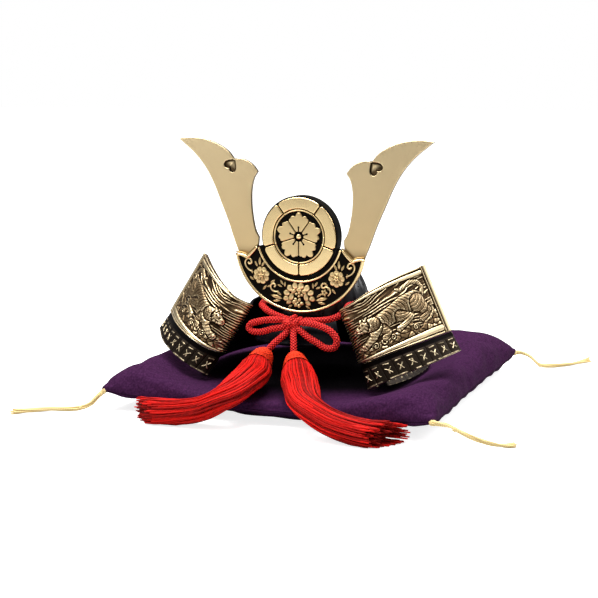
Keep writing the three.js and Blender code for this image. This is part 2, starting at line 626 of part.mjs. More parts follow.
// Half-width of a tassel, and how flat it lies, at shares of its length.
const TASSEL_PROFILE = [
  { at: 0, half: 2.6, flat: 1 }, { at: 0.02, half: 5.2, flat: 1 }, { at: 0.055, half: 7, flat: 1 },
  { at: 0.1, half: 8.2, flat: 0.94 }, { at: 0.15, half: 9.6, flat: 0.84 }, { at: 0.21, half: 10.3, flat: 0.68 },
  { at: 0.34, half: 9.6, flat: 0.58 }, { at: 0.5, half: 8.8, flat: 0.54 },
  { at: 0.64, half: 8.8, flat: 0.5 }, { at: 0.78, half: 9.4, flat: 0.44 },
  { at: 0.92, half: 10.2, flat: 0.4 }, { at: 0.97, half: 10.2, flat: 0.36 },
];
const TASSEL_LOCKS = 7;
const TASSEL_SKIRT_FROM = 0.16;

function tasselGeometry(points) {
  const middle = curveThrough(points);
  const outline = TASSEL_PROFILE.map(({ at, half }) => new THREE.Vector2(half, at));
  const ends = [new THREE.Vector2(0, TASSEL_PROFILE[TASSEL_PROFILE.length - 1].at)];
  const lathe = new THREE.LatheGeometry([new THREE.Vector2(0, 0), ...outline, ...ends], TASSEL_LOCKS * 3);
  const up = vector(0, 0, 1);
  return reshaped(lathe, (x, y, z) => {
    const row = TASSEL_PROFILE.findLast(({ at }) => at <= y + 1e-6);
    const angle = Math.atan2(z, x);
    const inSkirt = y > TASSEL_SKIRT_FROM ? 1 : 0;
    const lobe = 1 + 0.09 * inSkirt * Math.cos(TASSEL_LOCKS * angle);
    const tipShift = 0.03 * inSkirt * y ** 6 * Math.cos(TASSEL_LOCKS * angle);
    const share = THREE.MathUtils.clamp(y + tipShift * Math.min(1, Math.hypot(x, z)), 0, 1);
    const tangent = middle.getTangentAt(share);
    const side = tangent.clone().cross(up).normalize();
    const over = side.clone().cross(tangent);
    return middle.getPointAt(share)
      .addScaledVector(side, x * lobe)
      .addScaledVector(over, z * lobe * row.flat);
  });
}

// ---------------------------------------------------------------- assembly
const kabuto = new THREE.Group();

function add(name, geometry, material) {
  const mesh = new THREE.Mesh(weld(geometry), material);
  mesh.name = name;
  kabuto.add(mesh);
}

add('cushion', cushionGeometry(), PURPLE_CREPE);
for (const [corner, points] of Object.entries(CORNER_THREADS)) {
  add(`cushion_tassel_${corner}`, cornerTassel(points), GOLD_THREAD);
}
add('helmet_bowl', bowlGeometry(), BLACK_LACQUER);
add('visor', visorGeometry(), BLACK_LACQUER);
for (let i = 0; i + 1 < LAME_EDGES.length; i += 1) {
  add(`neck_guard_lame_${i + 1}`, lameGeometry(i), DARK_BRONZE);
}
add('turnback_right', turnbackGeometry(), ANTIQUE_BRONZE);
add('turnback_left', mirroredX(turnbackGeometry()), ANTIQUE_BRONZE);
add('lacing_strip_right', stripGeometry(), DARK_BRONZE);
add('lacing_strip_left', mirroredX(stripGeometry()), DARK_BRONZE);
add('crest_plate', crestPlateGeometry(), CREST_GOLD);
add('crest_disc', crestDiscGeometry(), CREST_GOLD);
add('crest_bracket', crestBracketGeometry(), DARK_BRONZE);
add('horn_right', hornGeometry(), SATIN_GOLD);
add('horn_left', mirroredX(hornGeometry()), SATIN_GOLD);
add('cord_band', tube(cordBandCurve(), CORD_RADIUS, 8, 34), RED_SILK);
add('bow_knot', knotGeometry(), RED_SILK);
add('bow_loop_left', tube(curveThrough(BOW_LOOP_LEFT), CORD_RADIUS, 8, 15), RED_SILK);
add('bow_loop_right', tube(curveThrough(BOW_LOOP_RIGHT), CORD_RADIUS, 8, 16), RED_SILK);
add('bow_end_left', tube(curveThrough(BOW_END_LEFT), CORD_RADIUS, 8, 4), RED_SILK);
add('bow_end_right', tube(curveThrough(BOW_END_RIGHT), CORD_RADIUS, 8, 4), RED_SILK);
add('tassel_left', tasselGeometry(TASSEL_LEFT), RED_SILK);
add('tassel_right', tasselGeometry(TASSEL_RIGHT), RED_SILK);

export default kabuto;
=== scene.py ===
"""Dresses the kabuto ornament: materials, cast relief, braided cord, silk tassels and the cushion's cloth.

Tables are in millimetres in the row frame (+X to the viewer's right, -Y the front, +Z up), and become
metres as the meshes are made.
"""

import math

import bmesh
import bpy
import numpy as np
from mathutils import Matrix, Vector


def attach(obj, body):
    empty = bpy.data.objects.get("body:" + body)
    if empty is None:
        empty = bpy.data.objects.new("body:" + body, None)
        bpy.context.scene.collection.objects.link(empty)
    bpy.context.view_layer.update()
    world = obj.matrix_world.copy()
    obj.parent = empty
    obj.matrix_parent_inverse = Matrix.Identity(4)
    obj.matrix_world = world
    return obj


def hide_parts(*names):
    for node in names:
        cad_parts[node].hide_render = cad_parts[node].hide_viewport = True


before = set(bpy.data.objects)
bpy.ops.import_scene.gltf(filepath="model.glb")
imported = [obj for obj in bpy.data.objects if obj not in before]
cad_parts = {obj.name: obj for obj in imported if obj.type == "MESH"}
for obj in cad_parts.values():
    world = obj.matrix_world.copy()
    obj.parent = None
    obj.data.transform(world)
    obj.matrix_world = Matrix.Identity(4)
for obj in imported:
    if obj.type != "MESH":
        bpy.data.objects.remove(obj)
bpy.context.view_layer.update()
MM = 0.001

# ---------------------------------------------------------------- driving dimensions, in millimetres
AXIS_Y = -6.0                      # the bowl's vertical axis
GAP = 0.3                          # between two pieces

CUSHION_HALF = 98.0
CUSHION_PULL = 3.0
CUSHION_SEAM_Z = 12.0
CUSHION_SEAM_SAG = 3.5
CUSHION_CROWN = 23.0
CUSHION_FULLNESS = 0.25
CUSHION_SINK = 21.0
CUSHION_UNDER_FULLNESS = 0.4
CUSHION_UNDER_DROP = 1.2
CLOTH_STEPS = 49
CLOTH_PRESSURE = 4.0
CLOTH_BENDING = 0.3
CLOTH_SLACK = 0.02
CLOTH_FRAMES = 20
CLOTH_ROOM = 7.0
FOOTPRINT = {"half_x": 64.0, "half_y": 74.0, "middle_y": -14.0, "full": 0.9, "gone": 1.5}

BOWL = {"radius": 30.0, "height": 37.0, "z": 50.0, "wall": 2.0, "ribs": 16, "rib": 0.7}
VISOR_TOP = {"radius": 33.0, "z": 51.5}
VISOR_LIP = {"radius": 45.0, "z": 37.5}
VISOR_HALF_ANGLE = 36.0
VISOR_THICK = 1.8
VISOR_SWELL = 1.5
VISOR_LIP_RADIUS = 1.05
RIVET_ANGLES = (14, 27, 40, 53, 65)
RIVET = ((-0.3, 0.62), (0.15, 0.6), (0.4, 0.4), (0.5, 0.05))   # height over the bowl, and radius

CREST_FRONT_Y = -39.5
CREST_THICK = 1.6
CRESCENT = {"radius": 40.4, "z": 94.0, "corner_x": 39.7, "corner_z": 86.6}
CRESCENT_INNER = {"radius": 25.6, "corner_x": 26.2, "corner_z": 91.5}
CREST_GROUND_INNER = 23.7
BRACKET_CUSP = {"x": 32.6, "z": 85.0}
BRACKET_PULL = {"outer_x": 35.5, "inner_x": 29.8, "inner_z": 87.2}

DISC_Z = 98.0
DISC_FRONT_Y = -39.6
DISC_RADIUS = 23.4
DISC_THICK = 8.0
DISC_STEPS = 128
RING = {"outer": 22.6, "inner": 16.1, "raise": 0.9}
PETAL_EDGE = (                     # degrees from a petal's middle, and how far out its edge is there
    (0, 13.8), (3, 13.75), (6, 13.2), (9, 12.2), (11, 11.4), (13, 11.8), (16, 12.3), (20, 12.5), (24, 12.1),
    (27, 11.4), (29, 11.5), (32, 11.4), (34.5, 10.6),
)
PETAL_ROOT = 3.0
PETAL_GAP = 0.6
PARTS_OF_RING = 5
GOLD_LINE_RADIUS = 15.1            # the thin line between ring and blossom
GOLD_BEAD = 0.62                   # radius of the beads on it
STAMEN = (                         # how far out, and half-width there
    (2.7, 0.42), (3.4, 0.42), (4.4, 0.42), (4.9, 0.45), (5.2, 0.58), (5.6, 0.62), (5.9, 0.4), (6.0, 0.1),
)
BUTTON = {"radius": 1.55, "high": 1.45}

HORN_BACK_LEAN = 1.5
HORN_FOOT_Z = 78.0
HORN_TIP_Z = 153.6
HORN_ROOT_SHADE_Z = (93.0, 85.0)       # where the painted shade at the root starts and is full
HORN_THICK = 2.4
HEART_RINGS = 14
HEART = {"x": 44.2, "z": 137.9, "turn": -37.0, "half": 4.2, "depth": 1.0}

PLATE_THICK = 2.0
TURNBACK_SIZE = (69.0, 38.0)       # length and height of a turn-back
STRIP_SIZE = (69.0, 16.0)
STRIP_TOP_SHARE = 0.035
STRIP_CELLS = 9
STRIP_START = 0.1                  # where along a strip its first cell starts
STRIP_LACED = 0.95                 # share of a strip's length that its cells take up
TURNBACK_GRID = (277, 153)         # points along and across
STRIP_GRID = (331, 81)
LAME_GRID = (34, 420)              # points up and along
LAME_EDGES = (57.0, 45.0, 33.0, 24.5, 17.6)
LAME_STEP = 1.3
LAME_LAP = 0.6
LAME_CELL = 6.6                    # about the width of one laced cell
CROSS_ROW = 0.36                   # how far up a laced plate its crosses are
GUARD_ROUNDNESS = 2.2
GUARD_LEVELS = (
    {"z": 57.0, "side": 38.5, "front": 52.0, "back": 42.0, "stop": 137.0},
    {"z": 31.0, "side": 54.0, "front": 71.4, "back": 58.0, "stop": 131.0},
    {"z": 17.6, "side": 64.0, "front": 81.8, "back": 68.0, "stop": 127.0},
)

CORD_RADIUS = 2.0
CORD_CELLS_ROUND = 5
CORD_CELL_LENGTH = 1.7
CORD_STEP = 0.28                   # between two rings of points along the braid
BRAID_RISE = 0.85                  # how far the strands stand above the hollows between them
BAND = {"radius": 33.2, "side_z": 57.6, "front_angle": 52.0, "steps": 16}
BAND_LEFT = ((-5.2, -47.4, 51.2), (-15, -45.6, 53.8), (-23, -39.8, 56.8))
BAND_RIGHT = ((26.4, -38.6, 54.6), (21.5, -44.4, 52.2), (14, -46.8, 51.2), (5.2, -47.4, 50.8))
KNOT = {"middle": (0.2, -50.6, 50.2), "half": (7.2, 4.8, 5.0)}
KNOT_THINNER = 0.92
KNOT_WRAPS = (                     # tilt in degrees, sideways shift, share of the full size
    (80, 0.2, 1.00), (50, 2.4, 0.80), (128, -2.4, 0.80), (14, 0.0, 0.92), (-16, 0.0, 0.86),
)

# ---------------------------------------------------------------- routes and edges, in millimetres
BOW_LOOP_LEFT = (
    (-5, -53, 51.4), (-12, -53.6, 51.2), (-20, -52.8, 49.6), (-25.2, -52, 47.4), (-26.2, -52, 45.2),
    (-23.6, -52.8, 43.6), (-17, -53.8, 44), (-11, -54, 46), (-6.4, -53.6, 47),
)
BOW_LOOP_RIGHT = (
    (5.8, -53, 50.6), (12.6, -53.8, 50.6), (20, -54.6, 49.4), (26.4, -55.6, 46.6), (29.4, -56.2, 42.6),
    (28.2, -56.4, 38.6), (23.4, -56.2, 37.6), (17, -55.2, 40.2), (11, -54.2, 43), (6.6, -53.2, 45.8),
)
BOW_END_LEFT = ((-2.4, -53.4, 44.3), (-4.8, -55.8, 41.6), (-7.8, -58, 38.6), (-10.2, -59.6, 35.6))
BOW_END_RIGHT = ((2.6, -54.4, 44.2), (3.5, -56.8, 41.2), (4.4, -58.8, 38), (5, -60.4, 35))
TASSEL_LEFT = (
    (-10.7, -60, 35), (-13.2, -64, 30), (-13.4, -73, 24.8), (-12, -89, 22.8), (-16.5, -104.6, 17.4),
    (-28, -108.8, 10.6), (-47, -109, 6.4), (-75, -109.4, 5),
)
TASSEL_RIGHT = (
    (5.3, -60.9, 34.4), (8.2, -65, 29), (14.5, -76, 23.6), (22, -91.6, 22.8), (31, -106, 17),
    (46, -110, 9.8), (62, -109.8, 6), (86, -109.4, 5),
)
CORNER_THREADS = {
    "front_left": ((-99.6, -99.6, 8.6), (-103, -101.6, 4.6), (-110, -104, 1.8), (-124, -110, 1.6),
                   (-134, -118, 1.6), (-142, -125, 1.6)),
    "front_right": ((99.6, -99.6, 12), (106, -100, 11.4), (113, -100, 8.6), (122, -97, 4.8),
                    (131, -91, 1.9), (139, -86, 1.6)),
    "back_right": ((99.6, 99.6, 11.5), (105, 101, 9.6), (112, 104, 3.4), (119, 113, 1.6),
                   (129, 124, 1.6), (140, 144, 1.6)),
    "back_left": ((-99.6, 99.6, 10.5), (-104, 103, 7), (-110, 108, 2.2), (-119, 117, 1.6),
                  (-129, 124, 1.6), (-140, 140, 1.6)),
}
TURNBACK_TOP = ((29.6, -41, 57.4), (27.6, -45.4, 57.8), (35.5, -50.8, 63), (45, -48, 69.8),
                (56.4, -37.3, 76.8), (69.1, -20.4, 82.9))
TURNBACK_FOOT = ((46, -47.6, 29.4), (42.4, -53, 29.6), (49.6, -59.4, 33), (62, -57.4, 38.4),
                 (76, -46.3, 43.6), (88, -29.5, 47.6))
STRIP_FOOT = ((53.5, -55.5, 17.2), (49.6, -60, 17), (57.5, -63, 21.6), (69, -60.3, 27),
              (82.5, -50.6, 32.6), (94.8, -32.4, 37.6))
HORN_OUTER_EDGE = ((39.5, 88.2), (42.2, 95), (45.9, 105.3), (50.7, 116.5), (55, 126.5), (60.3, 135.8),
                   (67.3, 144), (78.2, 152.9))
HORN_UPPER_EDGE = ((78.2, 152.9), (70.5, 153.6), (61, 152.7), (52, 149.6), (46, 145.8), (42.1, 141.2))
HORN_LOBE = ((42.1, 141.2), (38.4, 141.8), (33.6, 140.4), (29.9, 137.8), (27.2, 134.4))
HORN_INNER_EDGE = ((27.2, 134.4), (29.6, 130.6), (31, 124.5), (31.2, 118), (30.5, 110), (28.4, 100.4),
                   (26.2, 96.4))
HORN_ROOT = ((27.5, 82), (35.5, 78))


# ---------------------------------------------------------------- silk tassels: their form and threads
TASSEL_FORM = (                    # share of the length, half-width, and how flat it lies
    (0.0, 2.0, 1.0), (0.012, 3.8, 1.0), (0.03, 5.2, 1.0), (0.055, 6.1, 1.0), (0.085, 7.0, 0.98),
    (0.13, 9.2, 0.9), (0.21, 10.3, 0.70), (0.34, 9.6, 0.66), (0.50, 8.8, 0.70), (0.64, 8.9, 0.74),
    (0.78, 9.6, 0.74), (0.92, 10.6, 0.72), (1.0, 11.2, 0.68),
)
TASSEL_CAP = 0.085                 # share of the length that the netted cap covers
THREAD_LAYERS = (                  # share of the half-width, threads, darkest and lightest tone; inner layers darker as painted shade
    (1.0, 72, 0.15, 1.0), (0.84, 50, 0.05, 0.6), (0.60, 28, 0.0, 0.3), (0.30, 12, 0.0, 0.2),
)
THREAD_THICK = 0.50
THREAD_STEPS = 48
THREAD_SIDES = 6
TASSEL_NET = {"round": 10, "slope": 80, "rise": 0.6}
TASSEL_STEPS = 400
CORNER_STRANDS = 7
CORNER_THREAD = {"radius": 0.55, "off": 0.80, "steps": 120}
CORNER_KNOTS = ((0.0, 1.9), (0.045, 1.6), (0.30, 1.45))   # share of the length, and half-width

# ---------------------------------------------------------------- cast pictures, in shares or millimetres
# The tiger on the right-hand turn-back: chains of (u, v, radius, height), u and v shares of the plate.
TIGER_FORMS = {
    "far_hind_leg": ((0.79, 0.50, 4.6, 1.0), (0.86, 0.40, 2.6, 0.9), (0.82, 0.32, 1.7, 0.8),
                     (0.775, 0.295, 1.7, 0.7)),
    "tail": ((0.86, 0.64, 1.5, 1.0), (0.885, 0.73, 1.25, 1.0), (0.86, 0.815, 1.2, 1.0),
             (0.79, 0.85, 1.2, 1.0), (0.725, 0.825, 1.2, 1.0), (0.675, 0.80, 1.0, 0.9),
             (0.645, 0.83, 0.8, 0.7)),
    "trunk": ((0.40, 0.47, 5.0, 1.9), (0.52, 0.52, 4.9, 1.8), (0.66, 0.585, 5.0, 1.8),
              (0.78, 0.59, 5.3, 1.9)),
    "haunch": ((0.79, 0.53, 5.6, 2.1), (0.82, 0.46, 3.6, 1.6)),
    "near_hind_leg": ((0.60, 0.46, 3.2, 1.6), (0.69, 0.395, 2.0, 1.7), (0.62, 0.32, 1.5, 1.5),
                      (0.56, 0.285, 1.7, 1.5)),
    "far_foreleg": ((0.44, 0.38, 2.6, 1.1), (0.47, 0.29, 1.8, 1.0), (0.43, 0.235, 1.8, 1.0)),
    "near_foreleg": ((0.385, 0.43, 3.9, 2.1), (0.345, 0.315, 2.5, 2.1), (0.285, 0.245, 2.0, 2.0),
                     (0.25, 0.215, 2.3, 2.0)),
    "neck": ((0.37, 0.50, 4.3, 2.2), (0.31, 0.53, 3.9, 2.4)),
    "head": ((0.285, 0.525, 3.9, 2.7), (0.245, 0.505, 2.6, 2.7)),
    "ear_near": ((0.315, 0.615, 1.1, 2.3), (0.33, 0.645, 0.7, 1.9)),
    "ear_far": ((0.275, 0.625, 0.9, 2.0), (0.28, 0.65, 0.6, 1.6)),
}
STRIPE_SPACING = {"tail": 1.6, "trunk": 2.3, "haunch": 2.2}
STRIPE_DEPTH = {"head": 0.12, "neck": 0.4, "ear_near": 0.0, "ear_far": 0.0}
FACE_SPOTS = (                     # u, v, radius, height: hollows first, then what stands in them
    (0.262, 0.545, 0.62, -0.9), (0.293, 0.555, 0.55, -0.8), (0.228, 0.515, 0.5, -0.6),
    (0.318, 0.622, 0.6, -0.5), (0.262, 0.545, 0.26, 0.7), (0.293, 0.555, 0.24, 0.6),
    (0.236, 0.535, 0.55, 0.45), (0.24, 0.475, 0.8, 0.5), (0.275, 0.575, 0.7, 0.35), (0.30, 0.585, 0.6, 0.3),
)
FACE_AND_TOE_GROOVES = (           # start, end, half-width, depth
    ((0.222, 0.495), (0.262, 0.478), 0.35, 0.7), ((0.262, 0.478), (0.288, 0.49), 0.3, 0.6),
    ((0.300, 0.50), (0.318, 0.44), 0.3, 0.5), ((0.318, 0.52), (0.345, 0.46), 0.3, 0.5),
    ((0.33, 0.55), (0.362, 0.51), 0.3, 0.5), ((0.275, 0.47), (0.285, 0.425), 0.3, 0.5),
    ((0.232, 0.215), (0.245, 0.185), 0.28, 0.6), ((0.252, 0.215), (0.262, 0.178), 0.28, 0.6),
    ((0.272, 0.215), (0.28, 0.185), 0.28, 0.6), ((0.54, 0.285), (0.55, 0.255), 0.28, 0.5),
    ((0.56, 0.285), (0.57, 0.25), 0.28, 0.5), ((0.76, 0.29), (0.765, 0.265), 0.28, 0.4),
)
FUR_SPACING = 0.75
WIND_SPACING = {"bold": 1.75, "fine": 0.62}
STONES = {"columns": 19, "rows": 6, "wide": 3.8, "tall": 2.3}
WAVE_CURLS = ((0.34, 0.17, 2.4, 1), (0.42, 0.185, 2.7, -1), (0.49, 0.20, 2.2, 1), (0.70, 0.22, 2.0, -1))
GRASS_TUFTS = ((0.90, 0.27, 8), (0.83, 0.22, 6), (0.93, 0.42, 6), (0.66, 0.20, 5))
CROWN_PETALS = (                   # x, z, half-length, half-width, turn in degrees, height, tone
    (-8.0, 61.8, 1.9, 1.6, 195, 0.70, 0.85), (-7.6, 65.0, 2.1, 1.7, 160, 0.80, 0.95),
    (-5.6, 67.8, 2.2, 1.8, 130, 0.85, 0.95), (-2.4, 69.3, 2.1, 1.8, 105, 0.85, 1.0),
    (1.3, 69.4, 2.1, 1.9, 85, 0.85, 0.95), (4.8, 68.2, 2.2, 1.8, 55, 0.85, 1.0),
    (7.2, 65.6, 2.1, 1.7, 25, 0.80, 0.95), (8.1, 62.2, 1.9, 1.6, -10, 0.70, 0.85),
    (-6.2, 59.8, 1.9, 1.4, 215, 0.65, 0.8), (5.6, 59.6, 1.9, 1.4, -35, 0.65, 0.8),
    (-4.6, 62.8, 1.5, 2.5, 165, 1.00, 0.9), (4.4, 62.9, 1.5, 2.5, 12, 1.00, 0.9),
    (-3.2, 66.2, 1.3, 1.8, 130, 1.05, 0.85), (0.1, 67.1, 1.3, 1.8, 92, 1.05, 0.95),
    (3.2, 66.0, 1.3, 1.8, 50, 1.05, 0.85), (-1.5, 64.6, 0.9, 0.9, 0, 1.30, 1.0),
    (0.3, 65.2, 0.9, 0.9, 0, 1.35, 0.9), (1.9, 64.2, 0.9, 0.9, 0, 1.30, 1.0),
    (0.2, 63.4, 0.9, 0.8, 0, 1.35, 0.95), (-2.9, 59.9, 1.3, 1.2, 185, 1.15, 0.95),
    (-1.9, 58.2, 1.3, 1.1, 240, 1.15, 0.9), (0.2, 57.8, 1.3, 1.1, 280, 1.15, 1.0),
    (1.8, 59.2, 1.3, 1.2, -15, 1.15, 0.9), (0.4, 61.2, 1.3, 1.0, 70, 1.20, 1.0),
    (-1.9, 61.3, 1.3, 1.0, 120, 1.20, 0.9), (-0.6, 59.7, 0.7, 0.7, 0, 1.40, 1.0),
)
CROWN_SWELL = 1.1
CREST_LEAVES = (                   # x, z, half-length, half-width, turn in degrees; mirrored in X
    (13.9, 62.3, 4.2, 1.35, 14), (13.9, 60.1, 2.8, 0.9, -6), (12.6, 64.6, 2.4, 0.8, 36),
    (10.6, 70.9, 2.0, 0.75, 55), (8.7, 69.9, 1.8, 0.7, 95), (11.9, 68.9, 1.9, 0.7, 20),
    (16.4, 71.3, 2.0, 0.75, 150), (21.4, 67.4, 2.2, 0.8, -50), (18.6, 68.4, 1.7, 0.65, -25),
    (22.4, 81.2, 2.2, 0.8, 118), (24.5, 82.6, 2.8, 0.95, 92), (26.8, 81.0, 2.1, 0.8, 62),
    (29.6, 72.4, 1.9, 0.7, 35), (29.4, 76.4, 1.5, 0.6, 80), (5.4, 57.4, 1.8, 0.7, -28),
)
CREST_SCROLLS = (                  # points (x, z) of a curl, and its side: 0 for both
    (0, ((28.8, 76.2), (31.2, 77.2), (33.3, 79.4), (33.8, 82.0), (32.3, 83.9), (30.2, 83.3), (29.8, 81.5),
         (31.2, 80.8), (31.9, 81.9))),
    (-1, ((13.0, 65.6), (15.2, 65.3), (17.3, 66.6), (17.7, 68.8), (16.2, 70.0), (14.8, 69.2),
          (15.4, 68.0))),
    (1, ((17.8, 64.6), (19.2, 66.4), (18.8, 68.6), (16.8, 69.6), (14.6, 69.0), (13.9, 70.6), (15.0, 71.6))),
)
CREST_ROSETTE = (15.6, 66.2)
RIM_INSET = 0.75
RIM_HALF = {"outer": 0.95, "inner": 0.68, "bracket": 1.05, "bracket_shadow_line": 0.75}
PEONY_RINGS = (                    # distance out, petals, half-length, half-width, height, tone
    (0.72, 8, 0.31, 0.36, 0.55, 0.95), (0.46, 6, 0.20, 0.27, 0.85, 0.75), (0.20, 5, 0.20, 0.15, 1.15, 1.0),
)
SIDE_PEONIES = ((-23.6, 74.4, 5.2, 0.3), (23.0, 74.6, 5.0, 0.8))

# ------------------------------------------------- camera, floor and lamps, in metres and watts
CAMERA = {
    "place": (0.27172, -0.71939, 0.17969), "target": (-0.01584, 0, 0.05493), "lens": 77.3, "sensor": 36,
}
WORLD_LIGHT = 0.5
FLOOR_HALF = 12.0
FLOOR_GLOW = (0.20, 0.70, 0.80, 1.1)   # where it starts and ends from the middle, and its strengths
LAMPS = (                              # name, place, target, width, height, watts
    ("top", (-0.10, 0.0, 1.0), (0, 0.0, 0.03), 1.0, 0.8, 24),
    ("key", (-0.50, -0.50, 0.75), (0, -0.02, 0.06), 0.35, 0.35, 3),
    ("rim", (0.65, 0.55, 0.55), (0, 0, 0.07), 0.4, 0.5, 4),
    ("front_card", (-0.85, -1.00, 0.30), (0, -0.03, 0.12), 0.8, 0.5, 0.55),
    ("side_card", (0.75, -0.11, 0.65), (0.08, -0.02, 0.06), 0.5, 0.5, 0.9),
    ("left_card", (-0.80, -0.42, 0.16), (0.03, -0.05, 0.05), 0.5, 0.3, 0.30),
    ("low_card", (0.52, -0.86, 0.14), (-0.03, -0.05, 0.05), 0.4, 0.24, 0.15),
)


# ---------------------------------------------------------------- curves and noise
def smoothstep(low, high, value):
    """0 at `low` and 1 at `high`, eased at both; `low` may be the greater."""
    share = np.clip((value - low) / (high - low), 0, 1)
    return share * share * (3 - 2 * share)


def spline(points, count, steps=80):
    """A centripetal Catmull-Rom curve through the points, as `count` points evenly spaced along it."""
    rows = np.array(points, float)
    rows = np.vstack([2 * rows[0] - rows[1], rows, 2 * rows[-1] - rows[-2]])
    dense = []
    for before, start, end, after in zip(rows, rows[1:], rows[2:], rows[3:]):
        spans = ((before, start), (start, end), (end, after))
        gaps = [math.sqrt(max(np.linalg.norm(b - a), 1e-9)) for a, b in spans]
        leave = (start - before) / gaps[0] - (end - before) / (gaps[0] + gaps[1]) + (end - start) / gaps[1]
        arrive = (end - start) / gaps[1] - (after - start) / (gaps[1] + gaps[2]) + (after - end) / gaps[2]
        leave, arrive = leave * gaps[1], arrive * gaps[1]
        w = np.linspace(0, 1, steps, endpoint=False)[:, None]
        dense.append(start + leave * w + (3 * (end - start) - 2 * leave - arrive) * w**2
                     + (2 * (start - end) + leave + arrive) * w**3)
    dense = np.vstack([*dense, rows[-2:-1]])
    along = np.r_[0, np.cumsum(np.linalg.norm(np.diff(dense, axis=0), axis=1))]
    wanted = np.linspace(0, along[-1], count)
    return np.stack([np.interp(wanted, along, dense[:, axis]) for axis in range(dense.shape[1])], axis=-1)


def stacked(*parts):
    """Points from their x, y and z, or whatever else they have."""
    return np.stack(np.broadcast_arrays(*parts), axis=-1)


def length_of(points):
    """The length of a line."""
    return float(np.linalg.norm(np.diff(np.array(points, float), axis=0), axis=1).sum())


def tangents(line):
    """The direction of a line at each of its points."""
    ways = np.gradient(line, axis=0)
    return ways / np.linalg.norm(ways, axis=1, keepdims=True)


def carried_sides(line):
    """Two directions across a line that turn as little as they can along it."""
    ways = tangents(line)
    first = np.cross(ways[0], (0, 0, 1.0))
    if np.linalg.norm(first) < 0.1:
        first = np.cross(ways[0], (1.0, 0, 0))
    sides = [first / np.linalg.norm(first)]
    for way in ways[1:]:
        side = sides[-1] - way * np.dot(sides[-1], way)
        sides.append(side / np.linalg.norm(side))
    sides = np.array(sides)
    return sides, np.cross(ways, sides)


def lattice(x, y, seed, size=64):
    """Smooth value noise from 0 to 1 with a cell of 1, repeated after `size` cells."""
    table = np.random.default_rng(seed).random((size, size))
    column, row = np.floor(x).astype(int), np.floor(y).astype(int)
    s, t = x - column, y - row
    s, t = s * s * (3 - 2 * s), t * t * (3 - 2 * t)

    def corner(i, j):
        return table[(column + i) % size, (row + j) % size]

    low = corner(0, 0) * (1 - s) + corner(1, 0) * s
    high = corner(0, 1) * (1 - s) + corner(1, 1) * s
    return low * (1 - t) + high * t


def blurred(field, cells):
    """A Gaussian blur over a grid."""
    reach = int(3 * cells)
    weights = np.exp(-0.5 * (np.arange(-reach, reach + 1) / cells) ** 2)
    weights /= weights.sum()
    for axis in (0, 1):
        padded = np.pad(field, [(reach, reach) if a == axis else (0, 0) for a in (0, 1)], mode="edge")
        field = np.apply_along_axis(lambda line: np.convolve(line, weights, "valid"), axis, padded)
    return field


# ---------------------------------------------------------------- meshes
def linked(name, data):
    """A new object in the scene."""
    made = bpy.data.objects.new(name, data)
    bpy.context.scene.collection.objects.link(made)
    return made


def points_of(mesh):
    """A mesh's points in metres, a row for each."""
    flat = np.empty(len(mesh.vertices) * 3)
    mesh.vertices.foreach_get("co", flat)
    return flat.reshape(-1, 3)


def number_points(mesh, name, numbers):
    """Gives each point of a mesh a named number that the materials read."""
    mesh.attributes.new(name, "FLOAT", "POINT").data.foreach_set("value", np.asarray(numbers, np.float32))


def flat_faces(piece, weight=50):
    """Keeps broad faces flat where they meet rounded edges."""
    weighted = piece.modifiers.new("flat_faces", "WEIGHTED_NORMAL")
    weighted.keep_sharp = True
    weighted.weight = weight


def new_mesh(name, points, faces, values):
    """A mesh from points in mm. `values` are named numbers for each point."""
    mesh = bpy.data.meshes.new(name)
    mesh.from_pydata((np.asarray(points, float) * MM).tolist(), [], faces)
    for value_name, numbers in values.items():
        number_points(mesh, value_name, numbers)
    mesh.polygons.foreach_set("use_smooth", [True] * len(mesh.polygons))
    mesh.update()
    return linked(name, mesh)


def grid_faces(rows, columns, close_rows=False, close_columns=False):
    """The four-sided faces of a grid of points, which may close on itself either way."""
    faces = []
    for i in range(rows if close_rows else rows - 1):
        for j in range(columns if close_columns else columns - 1):
            here, right = i * columns + j, i * columns + (j + 1) % columns
            below = ((i + 1) % rows) * columns
            faces.append((here, right, below + (j + 1) % columns, below + j))
    return faces


def outward(piece):
    """Turns every face outward and welds doubled points."""
    work = bmesh.new()
    work.from_mesh(piece.data)
    bmesh.ops.remove_doubles(work, verts=work.verts, dist=1e-6)
    bmesh.ops.recalc_face_normals(work, faces=work.faces)
    work.to_mesh(piece.data)
    work.free()
    return piece


